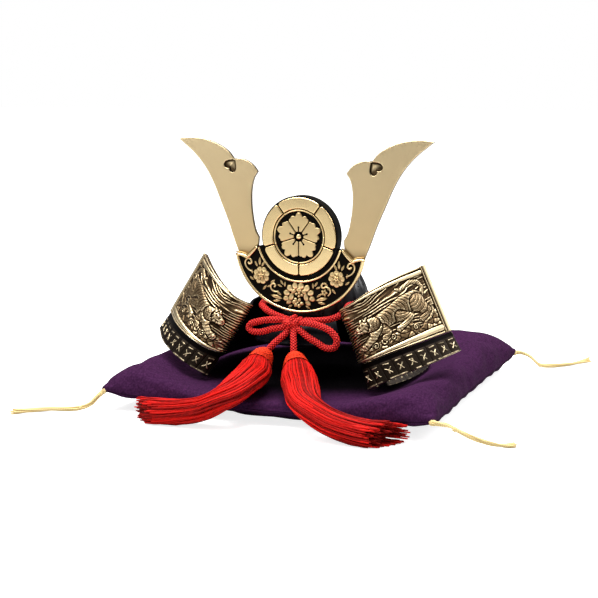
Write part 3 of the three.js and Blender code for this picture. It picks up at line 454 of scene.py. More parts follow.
class Batch:
    """Collects grids and solids to make one mesh."""

    def __init__(self):
        self.points, self.faces, self.slots, self.values = [], [], [], {}

    def add(self, points, faces, slot=0, **values):
        start = sum(len(block) for block in self.points)
        self.slots += [slot] * len(faces)
        points = np.asarray(points, float).reshape(-1, 3)
        self.points.append(points)
        self.faces += [tuple(start + index for index in face) for face in faces]
        for name, numbers in values.items():
            flat = np.broadcast_to(np.asarray(numbers, float).ravel(), len(points))
            self.values.setdefault(name, []).append(flat)

    def tube(self, line, radius, sides=8, closed_ends=True, **values):
        """A tube along a line; its radius may be one for all, one a point, or one a point and side."""
        across, up = carried_sides(line)
        radius = np.asarray(radius, float)
        if radius.ndim < 2:
            radius = np.broadcast_to(radius, len(line))[:, None]
        turn = np.linspace(0, 2 * math.pi, sides, endpoint=False)
        ring = np.cos(turn)[None, :, None] * across[:, None] + np.sin(turn)[None, :, None] * up[:, None]
        points = (line[:, None] + radius[..., None] * ring).reshape(-1, 3)
        faces = grid_faces(len(line), sides, close_columns=True)
        if closed_ends:
            faces += [tuple(range(sides)), tuple(range(len(points) - sides, len(points)))]
        self.add(points, faces, **values)

    def build(self, name):
        values = {value: np.concatenate(blocks) for value, blocks in self.values.items()}
        piece = new_mesh(name, np.vstack(self.points), self.faces, values)
        piece.data.polygons.foreach_set("material_index", self.slots)
        return piece


def finish_piece(piece, slot, *nodes, materials=()):
    """What every piece says: its materials, the body it rides on and the nodes it stands for; `slot` is not
    used.
    """
    for material in materials:
        piece.data.materials.append(material)
    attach(piece, "root")
    if nodes:
        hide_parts(*nodes)
    return piece


def mirrored(piece, name):
    """A copy reflected in X."""
    copy = linked(name, piece.data.copy())
    work = bmesh.new()
    work.from_mesh(copy.data)
    for vertex in work.verts:
        vertex.co.x = -vertex.co.x
    bmesh.ops.reverse_faces(work, faces=work.faces)
    work.to_mesh(copy.data)
    work.free()
    return copy


def finish_pair(right, slot, node, materials=()):
    """Finishes a right-hand piece and its reflection on the left."""
    left = mirrored(right, right.name.replace("right", "left"))
    for piece, side in ((right, "right"), (left, "left")):
        finish_piece(piece, slot, f"{node}_{side}", materials=materials)
    return left


def upright_plate(name, loops, front_y, thick, bevel, resolution, material):
    """A plate with rounded edges from closed outlines of (x, z) points; inner outlines are holes."""
    curve = bpy.data.curves.new(name, "CURVE")
    curve.dimensions = "2D"
    curve.fill_mode = "BOTH"
    curve.bevel_depth = bevel * MM
    curve.bevel_resolution = resolution
    curve.offset = -bevel * MM
    curve.extrude = (thick / 2 - bevel) * MM
    for loop in loops:
        line = curve.splines.new("POLY")
        line.points.add(len(loop) - 1)
        for point, (x, z) in zip(line.points, loop):
            point.co = (x * MM, z * MM, 0, 1)
        line.use_cyclic_u = True
    shape = linked(name, curve)
    bpy.context.view_layer.update()
    mesh = bpy.data.meshes.new_from_object(shape.evaluated_get(bpy.context.evaluated_depsgraph_get()))
    bpy.data.objects.remove(shape)
    x, z, y = points_of(mesh).T
    stood = np.column_stack([x, (front_y + thick / 2) * MM - y, z])
    mesh.vertices.foreach_set("co", stood.ravel())
    mesh.materials.append(material)
    piece = outward(linked(name, mesh))
    crisp(piece)
    return piece


def crisp(piece, angle=38.0):
    """Smooth shading that keeps flat faces flat."""
    mesh = piece.data
    mesh.polygons.foreach_set("use_smooth", [True] * len(mesh.polygons))
    work = bmesh.new()
    work.from_mesh(mesh)
    for edge in work.edges:
        edge.smooth = len(edge.link_faces) < 2 or edge.calc_face_angle(0) < math.radians(angle)
    work.to_mesh(mesh)
    work.free()
    flat_faces(piece, weight=100)


def merged(name, pieces):
    """Joins several mesh objects into one, keeping their materials and modifiers' results."""
    graph = bpy.context.evaluated_depsgraph_get()
    batch = bmesh.new()
    mesh = bpy.data.meshes.new(name)
    materials = []
    for piece in pieces:
        own = bpy.data.meshes.new_from_object(piece.evaluated_get(graph))
        slots = []
        for material in own.materials:
            if material not in materials:
                materials.append(material)
            slots.append(materials.index(material))
        before = len(batch.faces)
        batch.from_mesh(own)
        batch.faces.ensure_lookup_table()
        for face in batch.faces[before:]:
            face.material_index = slots[face.material_index] if slots else 0
        bpy.data.meshes.remove(own)
        bpy.data.objects.remove(piece)
    batch.to_mesh(mesh)
    batch.free()
    for material in materials:
        mesh.materials.append(material)
    joined = linked(name, mesh)
    flat_faces(joined)
    return joined


# ---------------------------------------------------------------- materials
class Tree:
    """A node tree and a short way to add and link its nodes."""

    def __init__(self, owner):
        owner.use_nodes = True
        self.tree = owner.node_tree

    def node(self, kind, **settings):
        made = self.tree.nodes.new(kind)
        for key, value in settings.items():
            if hasattr(made, key):
                setattr(made, key, value)
            else:
                made.inputs[key.replace("_", " ")].default_value = value
        return made

    def link(self, source, target):
        self.tree.links.new(source, target)

    def place(self, scale):
        """Object coordinates, scaled from metres so that 1 is `scale` millimetres."""
        coordinates = self.node("ShaderNodeTexCoord")
        mapping = self.node("ShaderNodeMapping")
        mapping.inputs["Scale"].default_value = 1 / (MM * np.broadcast_to(scale, 3))
        self.link(coordinates.outputs["Object"], mapping.inputs["Vector"])
        return mapping.outputs["Vector"]

    def noise(self, scale, detail=3.0, roughness=0.5):
        noise = self.node("ShaderNodeTexNoise", Scale=1.0, Detail=detail, Roughness=roughness)
        self.link(self.place(scale), noise.inputs["Vector"])
        return noise.outputs["Fac"]

    def ramp(self, factor, stops):
        ramp = self.node("ShaderNodeValToRGB")
        elements = ramp.color_ramp.elements
        while len(elements) < len(stops):
            elements.new(0.5)
        for element, (position, color) in zip(elements, stops):
            element.position = position
            element.color = (*color, 1)
        self.link(factor, ramp.inputs["Fac"])
        return ramp.outputs["Color"]

    def spread(self, factor, start, end, low, high, way="LINEAR"):
        """Goes from `low` to `high` as the factor goes from `start` to `end`."""
        spread = self.node("ShaderNodeMapRange", interpolation_type=way, From_Min=start, From_Max=end,
                           To_Min=low, To_Max=high)
        self.link(factor, spread.inputs["Value"])
        return spread.outputs["Result"]

    def grey(self, factor, low, high):
        return self.spread(factor, 0.0, 1.0, low, high)

    def math(self, operation, *values, clamp=False):
        """A Math node's result; each value is a number or another node's output."""
        made = self.node("ShaderNodeMath", operation=operation, use_clamp=clamp)
        for socket, value in zip(made.inputs, values):
            if isinstance(value, (int, float)):
                socket.default_value = value
            else:
                self.link(value, socket)
        return made.outputs["Value"]

    def mixed(self, factor, first, second):
        mix = self.node("ShaderNodeMix", data_type="RGBA")
        for socket, value in ((mix.inputs[0], factor), (mix.inputs[6], first), (mix.inputs[7], second)):
            if isinstance(value, (int, float)):
                socket.default_value = value
            elif isinstance(value, tuple):
                socket.default_value = (*value, 1)
            else:
                self.link(value, socket)
        return mix.outputs[2]

    def attribute(self, name):
        return self.node("ShaderNodeAttribute", attribute_name=name).outputs["Fac"]


class Nodes(Tree):
    """A material's tree, with its one shader."""

    def __init__(self, name):
        self.material = bpy.data.materials.new(name)
        super().__init__(self.material)
        self.shader = self.tree.nodes["Principled BSDF"]

    def set(self, **values):
        for key, value in values.items():
            self.shader.inputs[key.replace("_", " ")].default_value = value

    def color(self, source):
        self.link(source, self.shader.inputs["Base Color"])

    def roughness(self, source):
        self.link(source, self.shader.inputs["Roughness"])

    def bump(self, height, distance, strength=1.0):
        """Adds a bump of `distance` millimetres to those already there."""
        bump = self.node("ShaderNodeBump")
        bump.inputs["Distance"].default_value = distance * MM
        bump.inputs["Strength"].default_value = strength
        self.link(height, bump.inputs["Height"])
        before = self.shader.inputs["Normal"].links
        if before:
            self.link(before[0].from_socket, bump.inputs["Normal"])
        self.link(bump.outputs["Normal"], self.shader.inputs["Normal"])


def satin_gold():
    """Plated gold, finely brushed, with faint clouding, and with painted light and shade in its colour."""
    m = Nodes("satin_gold")
    m.set(Metallic=1.0)
    cloud = m.noise(14.0, 2.0)
    parts = m.node("ShaderNodeSeparateXYZ")
    m.link(m.place(1.0), parts.inputs["Vector"])
    z = parts.outputs["Z"]
    # Painted light: the gold runs lighter from foot to tip, standing for the brighter light on the upper
    # horn.
    painted_tip_light = m.mixed(m.spread(z, HORN_FOOT_Z, HORN_TIP_Z, 0.0, 1.0), (0.74, 0.54, 0.27), (1.0, 0.80, 0.47))
    clouded = m.mixed(m.grey(cloud, 0.0, 0.2), painted_tip_light, (0.78, 0.58, 0.32))
    # Painted shade at the root, where the crest's brackets overlap the horn.
    root_shaded = m.mixed(m.spread(z, *HORN_ROOT_SHADE_Z, 0.0, 0.6, "SMOOTHSTEP"), clouded, (0.30, 0.19, 0.09))
    # Painted shade: a number on the mesh darkens the plate's sides and back, and the heart bed's edge and
    # lower side.
    m.color(m.mixed(m.attribute("patina"), root_shaded, (0.05, 0.028, 0.012)))
    m.roughness(m.grey(m.noise((0.6, 0.6, 6.0), 4.0), 0.30, 0.42))
    m.bump(m.noise((0.25, 0.25, 2.2), 3.0), 0.02, 0.35)
    m.bump(m.noise(9.0, 2.0), 0.10, 0.5)
    return m.material


def relief_metal(name, colors, rough_high, rough_low, speckle, grain):
    """Cast metal whose recesses hold dark patina; the mesh says how high each point stands."""
    m = Nodes(name)
    m.set(Metallic=1.0)
    speckled = m.math("MULTIPLY_ADD", m.noise(1.1, 4.0, 0.6), 2 * speckle, m.attribute("tone"))
    toned = m.math("SUBTRACT", speckled, speckle, clamp=True)
    m.color(m.ramp(toned, colors))
    m.roughness(m.grey(toned, rough_low, rough_high))
    m.bump(m.noise(0.35, 3.0), grain, 0.5)
    return m.material


def black_lacquer(name, shine):
    """Black lacquer with a slightly uneven gloss."""
    m = Nodes(name)
    m.set(Base_Color=(0.003, 0.003, 0.005, 1), Specular_IOR_Level=shine)
    m.roughness(m.grey(m.noise(5.0, 3.0), 0.22, 0.36))
    m.bump(m.noise(6.0, 2.0), 0.05, 0.3)
    return m.material


def matt_black(name, color):
    """Blackened metal, or black painted as shade on the unlit inside of a plate."""
    m = Nodes(name)
    m.set(Specular_IOR_Level=0.03)
    m.color(m.ramp(m.noise(1.6, 4.0), [(0.3, tuple(0.7 * c for c in color)), (0.75, color)]))
    m.roughness(m.grey(m.noise(3.0, 3.0), 0.45, 0.65))
    m.bump(m.noise(0.5, 3.0), 0.02, 0.4)
    return m.material


def red_cord():
    """Braided silk; the braid itself is in the mesh, so this adds each strand's fine threads."""
    m = Nodes("red_cord")
    m.set(Roughness=0.55, Specular_IOR_Level=0.12)
    # Painted shade and highlight: the braid's height is its tone, near black in the hollows and bright on
    # the strands' crests.
    painted_shade_and_highlight = [(0.0, (0.015, 0.0004, 0.0006)), (0.45, (0.16, 0.002, 0.004)), (0.80, (0.72, 0.018, 0.018)),
              (1.0, (1.0, 0.10, 0.07))]
    braid = m.ramp(m.attribute("tone"), painted_shade_and_highlight)
    m.color(m.mixed(m.grey(m.noise(3.0, 2.0), 0.0, 0.06), braid, (0.78, 0.03, 0.03)))
    m.bump(m.noise(0.16, 2.0), 0.06, 0.5)
    return m.material


def silk_thread(name, dark, light, sheen, twisted):
    """Twisted thread. The mesh says how far the ply has turned, and `twisted` is how much of it shows."""
    m = Nodes(name)
    m.set(Roughness=0.55, Specular_IOR_Level=0.06, Sheen_Weight=0.02, Sheen_Roughness=0.35,
          Sheen_Tint=(*sheen, 1))
    ply = m.math("SINE", m.attribute("twist"))
    plain = m.ramp(m.attribute("tone"), [(0.0, dark), (1.0, light)])
    # Painted highlight and shade along the ply: `twisted` says how much of it shows in the colour.
    plied = m.ramp(m.grey(ply, 0.35, 0.65), [(0.3, dark), (0.6, light)])
    m.color(m.mixed(twisted, plain, plied))
    m.bump(ply, 0.20 * twisted, 0.7)
    m.bump(m.noise(0.2, 2.0), 0.04, 0.4)
    return m.material


def purple_crepe():
    """Matt crepe: a fine irregular crinkle over a plain weave."""
    m = Nodes("purple_crepe")
    m.set(Roughness=0.9, Specular_IOR_Level=0.03, Sheen_Weight=0.008, Sheen_Roughness=0.5,
          Sheen_Tint=(0.7, 0.35, 0.7, 1))
    weave = m.node("ShaderNodeTexVoronoi", feature="DISTANCE_TO_EDGE", Scale=1.0)
    m.link(m.place((0.8, 1.1, 0.9)), weave.inputs["Vector"])
    crinkle = m.noise((1.0, 1.6, 1.1), 3.0, 0.6)
    cloud = m.noise(30.0, 2.0)
    base = m.ramp(cloud, [(0.3, (0.019, 0.0045, 0.020)), (0.7, (0.026, 0.0062, 0.028))])
    # Painted highlight: the crinkle is lighter where it rises, as its bump does.
    crepe = m.mixed(m.ramp(crinkle, [(0.35, (0, 0, 0)), (0.68, (1, 1, 1))]), base, (0.046, 0.0122, 0.047))
    near_seam = m.ramp(m.attribute("seam"), [(0.80, (0, 0, 0)), (0.97, (0.8, 0.8, 0.8))])
    sewn = m.mixed(near_seam, crepe, (0.004, 0.001, 0.005))
    # Painted shadow: where the mesh's shade number is 1 the cloth is painted near black, standing for the
    # helmet's shadow.
    m.color(m.mixed(m.attribute("shade"), sewn, (0.001, 0.0006, 0.001)))
    m.bump(weave.outputs["Distance"], 0.16, 0.6)
    m.bump(crinkle, 0.30, 0.5)
    return m.material


SATIN_GOLD = satin_gold()
ANTIQUE_BRONZE = relief_metal(
    "antique_bronze",
    [(0.0, (0.008, 0.005, 0.003)), (0.30, (0.055, 0.031, 0.015)), (0.60, (0.24, 0.158, 0.080)),
     (0.97, (0.96, 0.78, 0.48))],
    0.28, 0.5, 0.06, 0.02)
DARK_BRONZE = relief_metal(
    "dark_bronze",
    [(0.0, (0.004, 0.003, 0.003)), (0.35, (0.035, 0.025, 0.017)), (0.90, (0.85, 0.70, 0.44))],
    0.34, 0.5, 0.05, 0.03)
CREST_GOLD = relief_metal(
    "crest_gold",
    [(0.0, (0.012, 0.007, 0.004)), (0.45, (0.40, 0.27, 0.11)), (0.85, (0.97, 0.74, 0.38))],
    0.26, 0.42, 0.02, 0.006)
BLACK_LACQUER = black_lacquer("black_lacquer", 0.32)
DULL_LACQUER = black_lacquer("dull_lacquer", 0.06)
CREST_BLACK = matt_black("crest_black", (0.0045, 0.0036, 0.0026))
INNER_PAINTED_SHADE = matt_black("inner_painted_shade", (0.004, 0.003, 0.004))
RED_CORD = red_cord()
RED_SILK = silk_thread("red_silk", (0.05, 0.0006, 0.0006), (0.78, 0.012, 0.008), (1.0, 0.3, 0.2), 0.12)
CAP_SILK = silk_thread("cap_silk", (0.10, 0.001, 0.001), (1.0, 0.065, 0.02), (1.0, 0.4, 0.2), 0.1)
GOLD_THREAD = silk_thread("gold_thread", (0.52, 0.34, 0.10), (0.93, 0.75, 0.38), (1.0, 0.9, 0.6), 0.5)
PURPLE_CREPE = purple_crepe()


# ---------------------------------------------------------------- camera, floor and light
def aim(thing, target):
    """Points a camera or a lamp at a place."""
    thing.rotation_euler = (Vector(target) - thing.location).to_track_quat("-Z", "Y").to_euler()


def make_world():
    """A white surround where it is seen directly, and a dim one, brighter overhead, as light."""
    world = bpy.data.worlds.new("studio")
    w = Tree(world)
    seen = w.tree.nodes["Background"]
    seen.inputs["Color"].default_value = (1, 1, 1, 1)
    lit = w.node("ShaderNodeBackground", Strength=WORLD_LIGHT)
    parts = w.node("ShaderNodeSeparateXYZ")
    mix = w.node("ShaderNodeMixShader")
    w.link(w.node("ShaderNodeTexCoord").outputs["Generated"], parts.inputs["Vector"])
    w.link(w.ramp(parts.outputs["Z"], [(0.0, (0.16, 0.15, 0.14)), (0.9, (1, 1, 1))]), lit.inputs["Color"])
    w.link(w.node("ShaderNodeLightPath").outputs["Is Camera Ray"], mix.inputs["Fac"])
    w.link(lit.outputs["Background"], mix.inputs[1])
    w.link(seen.outputs["Background"], mix.inputs[2])
    w.link(mix.outputs["Shader"], w.tree.nodes["World Output"].inputs["Surface"])
    bpy.context.scene.world = world


def pale_floor():
    """White paper. Where it is seen directly it is lifted to white, and shadows on it stay soft."""
    m = Nodes("pale_floor")
    m.set(Base_Color=(0.55, 0.55, 0.55, 1), Roughness=0.9, Specular_IOR_Level=0.0,
          Emission_Color=(1, 1, 1, 1))
    away = m.node("ShaderNodeVectorMath", operation="LENGTH")
    m.link(m.node("ShaderNodeTexCoord").outputs["Object"], away.inputs[0])
    glow = m.spread(away.outputs["Value"], *FLOOR_GLOW, "SMOOTHSTEP")
    seen = m.node("ShaderNodeLightPath").outputs["Is Camera Ray"]
    m.link(m.math("MULTIPLY", seen, glow), m.shader.inputs["Emission Strength"])
    return m.material


def make_stage():
    """The camera, the floor, the surround and the lamps."""
    camera = linked("camera", bpy.data.cameras.new("camera"))
    camera.data.sensor_width = CAMERA["sensor"]
    camera.data.lens = CAMERA["lens"]
    camera.location = CAMERA["place"]
    aim(camera, CAMERA["target"])
    bpy.context.scene.camera = camera

    mesh = bpy.data.meshes.new("floor")
    corners = [(FLOOR_HALF * x, FLOOR_HALF * y, 0) for x, y in ((-1, -1), (1, -1), (1, 1), (-1, 1))]
    mesh.from_pydata(corners, [], [(0, 1, 2, 3)])
    mesh.materials.append(pale_floor())
    linked("floor", mesh)

    make_world()

    for name, place, target, width, height, watts in LAMPS:
        light = bpy.data.lights.new(name, "AREA")
        light.shape = "RECTANGLE"
        light.size = width
        light.size_y = height
        light.energy = watts
        lamp = linked(name, light)
        lamp.location = place
        aim(lamp, target)
    bpy.context.scene.view_settings.view_transform = "Standard"


make_stage()


# ---------------------------------------------------------------- braided cord
def braid_height(round_share, along):
    """Height of a round braid's surface, from 0 to 1: strands cross over and under each other."""
    first = CORD_CELLS_ROUND * round_share + along / CORD_CELL_LENGTH
    second = CORD_CELLS_ROUND * round_share - along / CORD_CELL_LENGTH
    over = (np.floor(first) + np.floor(second)) % 2 < 1
    a, b = np.abs(np.sin(math.pi * first)), np.abs(np.sin(math.pi * second))
    lying, crossing = np.where(over, a, b), np.where(over, b, a)
    return np.sqrt(lying) * (0.55 + 0.45 * crossing)


def braided(batch, line, radius=CORD_RADIUS, sides=42):
    """A braided cord along a line, ending in rounded caps."""
    along = np.r_[0, np.cumsum(np.linalg.norm(np.diff(line, axis=0), axis=1))]
    height = braid_height(np.arange(sides)[None, :] / sides, along[:, None])
    ends = np.sqrt(np.clip(np.minimum(along, along[-1] - along) / (0.8 * radius), 0.02, 1))
    size = (radius - BRAID_RISE + BRAID_RISE * height) * ends[:, None]
    # The braid's height is passed on as tone, which the cord's material paints as shade in hollows and
    # highlight on crests.
    batch.tube(line, size, sides=sides, tone=height)


def cord_route(*stretches):
    """One smooth line through several tables of points."""
    points = [point for stretch in stretches for point in stretch]
    rough = spline(points, 400)
    return spline(points, int(length_of(rough) / CORD_STEP))


def band_route():
    """Round the foot of the bowl, from the left of the knot to its right."""
    reach, radius = 180 - BAND["front_angle"], BAND["radius"]
    round_bowl = [(radius * math.sin(turn), AXIS_Y + radius * math.cos(turn), BAND["side_z"])
                  for turn in np.radians(np.linspace(-reach, reach, BAND["steps"] + 1))]
    return cord_route(BAND_LEFT, round_bowl, BAND_RIGHT)


def make_band():
    """The braided cord round the foot of the bowl."""
    batch = Batch()
    braided(batch, band_route(), sides=36)
    finish_piece(batch.build("cord_band_braid"), "red_silk", "cord_band", materials=(RED_CORD,))


def make_knot():
    """The bow's knot: wraps of the cord over and across each other."""
    batch = Batch()
    thin = KNOT_THINNER * CORD_RADIUS
    half = np.array(KNOT["half"]) - thin
    turn = np.linspace(0, 2 * math.pi, 110)
    for degrees, shift, size in KNOT_WRAPS:
        tilt = math.radians(degrees)
        wrap = np.column_stack([np.cos(turn) * math.cos(tilt), np.sin(turn), np.cos(turn) * math.sin(tilt)])
        braided(batch, np.array(KNOT["middle"]) + (shift, 0, 0) + size * half * wrap, radius=thin, sides=30)
    finish_piece(batch.build("bow_knot_wraps"), "red_silk", "bow_knot", materials=(RED_CORD,))


def make_free_cord(name, loop, end, core, nodes):
    """One end of the cord: from the knot round its loop, through the knot and down into its tassel."""
    x, y, z = KNOT["middle"]
    through = [(x + 0.35 * (loop[-1][0] - x), y - 1.2, z - 2.6)]
    line = cord_route(loop, through, end, core)
    batch = Batch()
    braided(batch, line)
    piece = finish_piece(batch.build(name), "red_silk", *nodes, materials=(RED_CORD,))


# ---------------------------------------------------------------- silk tassels
def profile(table, share, column):
    """A column of a table, read at a share of the length."""
    rows = np.array(table)
    return np.interp(share, rows[:, 0], rows[:, column])


def thread(batch, line, radius, tone, twist, closed_ends=True):
    """A thread along a line, whose ply turns by `twist` radians over its length."""
    run = np.linspace(0, twist, len(line))[:, None] + np.arange(THREAD_SIDES)
    tones = np.repeat(np.broadcast_to(tone, len(line)), THREAD_SIDES)
    batch.tube(line, radius, THREAD_SIDES, closed_ends, tone=tones, twist=run)


def make_tassel(name, points, node, seed, front_side):
    """A head under a netted cap, and a skirt of threads; those at the back run on a little further."""
    rng = np.random.default_rng(seed)
    middle = spline(points, TASSEL_STEPS + 1)
    length = length_of(middle)
    ways = tangents(middle)
    sides = np.cross(ways, (0, 0, 1.0))
    sides /= np.linalg.norm(sides, axis=1, keepdims=True)
    overs = np.cross(sides, ways)

    def place(share, x, y):
        at = np.clip(share * TASSEL_STEPS, 0, TASSEL_STEPS)

        def along(rows):
            steps = np.arange(len(rows))
            return np.stack([np.interp(at, steps, rows[:, axis]) for axis in range(3)], axis=-1)

        return along(middle) + along(sides) * x[..., None] + along(overs) * y[..., None]

    batch = Batch()
    rows, columns = 34, 96
    share, turn = np.meshgrid(np.linspace(0.0, TASSEL_CAP, rows),
                              np.linspace(0, 2 * math.pi, columns, endpoint=False), indexing="ij")
    around, slope = TASSEL_NET["round"] * turn / math.pi / 2, share * TASSEL_NET["slope"]
    strands = [np.abs(np.sin(math.pi * (around + way * slope))) for way in (1, -1)]
    net = np.maximum(*strands) ** 8
    half = profile(TASSEL_FORM, share, 1) + 0.1 + TASSEL_NET["rise"] * net
    cap = place(share, half * np.cos(turn), half * np.sin(turn))
    # Painted shade: the net's cords are light and the gaps between them darker.
    batch.add(cap, grid_faces(rows, columns, close_columns=True), slot=1, tone=0.25 + 0.75 * net,
              twist=60 * share)
    for layer, threads, darkest, lightest in THREAD_LAYERS:
        for k in range(threads):
            turn = 2 * math.pi * (k + 0.7 * rng.random()) / threads
            front = 0.5 + 0.5 * front_side * math.cos(turn) * layer
            reach = 1.0 - 0.14 * front - 0.06 * rng.random() ** 2
            share = np.linspace(0.03, reach, THREAD_STEPS)
            drift = 0.12 * rng.standard_normal() * smoothstep(0.25, 1.0, share)
            sway = 0.05 * np.sin(share * (9 + 6 * rng.random()) + 6 * rng.random())
            sway = sway * smoothstep(0.1, 0.3, share)
            half = profile(TASSEL_FORM, share, 1) - THREAD_THICK
            flat = profile(TASSEL_FORM, share, 2)
            lift = layer * (1 + 0.02 * rng.standard_normal()) + sway
            splay = smoothstep(0.80, 1.0, share)
            line = place(share, half * lift * np.cos(turn + drift) + splay * rng.standard_normal() * 1.5,
                         half * flat * lift * np.sin(turn + drift) + splay * rng.standard_normal() * 0.7)
            line[:, 2] = np.maximum(line[:, 2], 0.9)
            # Tone is random within the layer's range; the darker range of inner layers is painted shade
            # inside the skirt, and near the cap threads are painted darker as its shade.
            shade = darkest + (lightest - darkest) * rng.random() ** 1.3
            tone = shade * (0.55 + 0.45 * smoothstep(0.05, 0.14, share))
            thread(batch, line, THREAD_THICK * (1 - 0.25 * smoothstep(0.97, 1.0, share / reach)), tone,
                   1.15 * length)
    return finish_piece(batch.build(name), "red_silk", node, materials=(RED_SILK, CAP_SILK))


def make_corner_tassel(corner, points, seed):
    """A few gold threads tied at the cushion's corner, knotted again further down."""
    rng = np.random.default_rng(seed)
    radius, off, steps = CORNER_THREAD["radius"], CORNER_THREAD["off"], CORNER_THREAD["steps"]
    corner_x, corner_y = (math.copysign(CUSHION_HALF - 1.2, side) for side in points[0][:2])
    middle = spline([(corner_x, corner_y, CUSHION_SEAM_Z - 0.4), *points], steps)
    along = np.linspace(0, 1, steps)
    across, up = carried_sides(middle)
    ways = tangents(middle)
    batch = Batch()
    for k in range(CORNER_STRANDS):
        turn = 2 * math.pi * k / CORNER_STRANDS + 5.5 * along + 0.6 * rng.standard_normal()
        loosen = 1 + 1.1 * smoothstep(0.82, 1.0, along) * rng.random()
        end = int(steps * (1 - 0.05 * rng.random()))
        aside = np.cos(turn)[:, None] * across + np.sin(turn)[:, None] * up
        line = (middle + (off if k else 0.0) * loosen[:, None] * aside)[:end]
        line[:, 2] = np.maximum(line[:, 2], 0.45)
        thread(batch, line, radius, 0.55 + 0.45 * rng.random(), 260)
    turn = np.linspace(0, 2 * math.pi, 40)[:, None]
    for share, size in CORNER_KNOTS:
        at = int(share * (steps - 1))
        for tilt in (0.5, -0.5, 1.4):
            over = math.cos(tilt) * up[at] + math.sin(tilt) * ways[at]
            line = middle[at] + (size - 0.5) * (np.cos(turn) * across[at] + np.sin(turn) * over)
            line[:, 2] = np.maximum(line[:, 2], 0.6)
            thread(batch, line, radius, 0.75, 60, closed_ends=False)
    finish_piece(batch.build(f"corner_threads_{corner}"), "gold_thread", f"cushion_tassel_{corner}",
                 materials=(GOLD_THREAD,))


# ---------------------------------------------------------------- bowl and visor
def bowl_point(turn, angle, offset):
    """A point on the bowl: turn round its axis, and angle up from its foot."""
    rib = np.clip(np.cos(turn * BOWL["ribs"]), 0, 1) ** 6
    radius = (BOWL["radius"] + offset + BOWL["rib"] * rib * (offset >= 0)) * np.cos(angle)
    height = (BOWL["height"] + offset) * np.sin(angle)
    return stacked(radius * np.cos(turn), AXIS_Y + radius * np.sin(turn), BOWL["z"] + height)


def make_bowl():
    """A hollow dome with raised ribs, and rivets up each plate between them."""
    batch = Batch()
    turns = np.linspace(0, 2 * math.pi, BOWL["ribs"] * 16, endpoint=False)
    for offset, rows in ((0.0, 34), (-BOWL["wall"], 20)):
        angles = np.linspace(0, math.radians(88), rows)
        points = bowl_point(turns[None, :], angles[:, None], offset)
        batch.add(points, grid_faces(rows, len(turns), close_columns=True))
        crown = (0, AXIS_Y, BOWL["z"] + BOWL["height"] + offset)
        fan = [(j, (j + 1) % len(turns), len(turns)) for j in range(len(turns))]
        batch.add(np.vstack([points[-1], crown]), fan)
    edge = np.stack([bowl_point(turns, 0 * turns, 0.0), bowl_point(turns, 0 * turns, -BOWL["wall"])])
    batch.add(edge, grid_faces(2, len(turns), close_columns=True))
    heights, radii = np.array(RIVET).T
    for k in range(BOWL["ribs"]):
        turn = 2 * math.pi * (k + 0.5) / BOWL["ribs"]
        c, s = math.cos(turn), math.sin(turn)
        for angle in np.radians(RIVET_ANGLES):
            base = bowl_point(np.array(turn), np.array(angle), 0.0)
            out = stacked(c * math.cos(angle), s * math.cos(angle), math.sin(angle))
            batch.tube(base + heights[:, None] * out, radii, sides=8)
    piece = outward(batch.build("bowl_shell"))
    finish_piece(piece, "black_lacquer", "helmet_bowl", materials=(BLACK_LACQUER,))


def make_visor():
    """The brim over the brow, with a rolled lip."""
    columns, rows = 90, 22
    angle = np.radians(np.linspace(-VISOR_HALF_ANGLE, VISOR_HALF_ANGLE, columns))[None, :]
    flare = np.linspace(0, 1, rows)[:, None]
    layers = []
    for offset in (0.0, -VISOR_THICK):
        radius = VISOR_TOP["radius"] + (VISOR_LIP["radius"] - VISOR_TOP["radius"]) * flare + 0.75 * offset
        swell = VISOR_SWELL * np.sin(flare * math.pi)
        z = VISOR_TOP["z"] + (VISOR_LIP["z"] - VISOR_TOP["z"]) * flare + swell + 0.65 * offset
        layers.append(stacked(radius * np.sin(angle), AXIS_Y - radius * np.cos(angle), z))
    top, under = layers
    loop = np.concatenate([top, under[::-1]], axis=0)
    batch = Batch()
    batch.add(loop, grid_faces(2 * rows, columns, close_rows=True))
    for column in (0, columns - 1):
        batch.add(loop[:, column], [tuple(range(2 * rows))])
    batch.tube((top[-1] + under[-1]) / 2, VISOR_LIP_RADIUS, sides=12)
    piece = outward(batch.build("visor_plate"))
    crisp(piece)
    finish_piece(piece, "black_lacquer", "visor", materials=(DULL_LACQUER,))


# ---------------------------------------------------------------- laced lames of the neck guard
def ridge(away, half_width):
    """1 on a line, fading to 0 away from it."""
    return np.exp(-((away / half_width) ** 2))


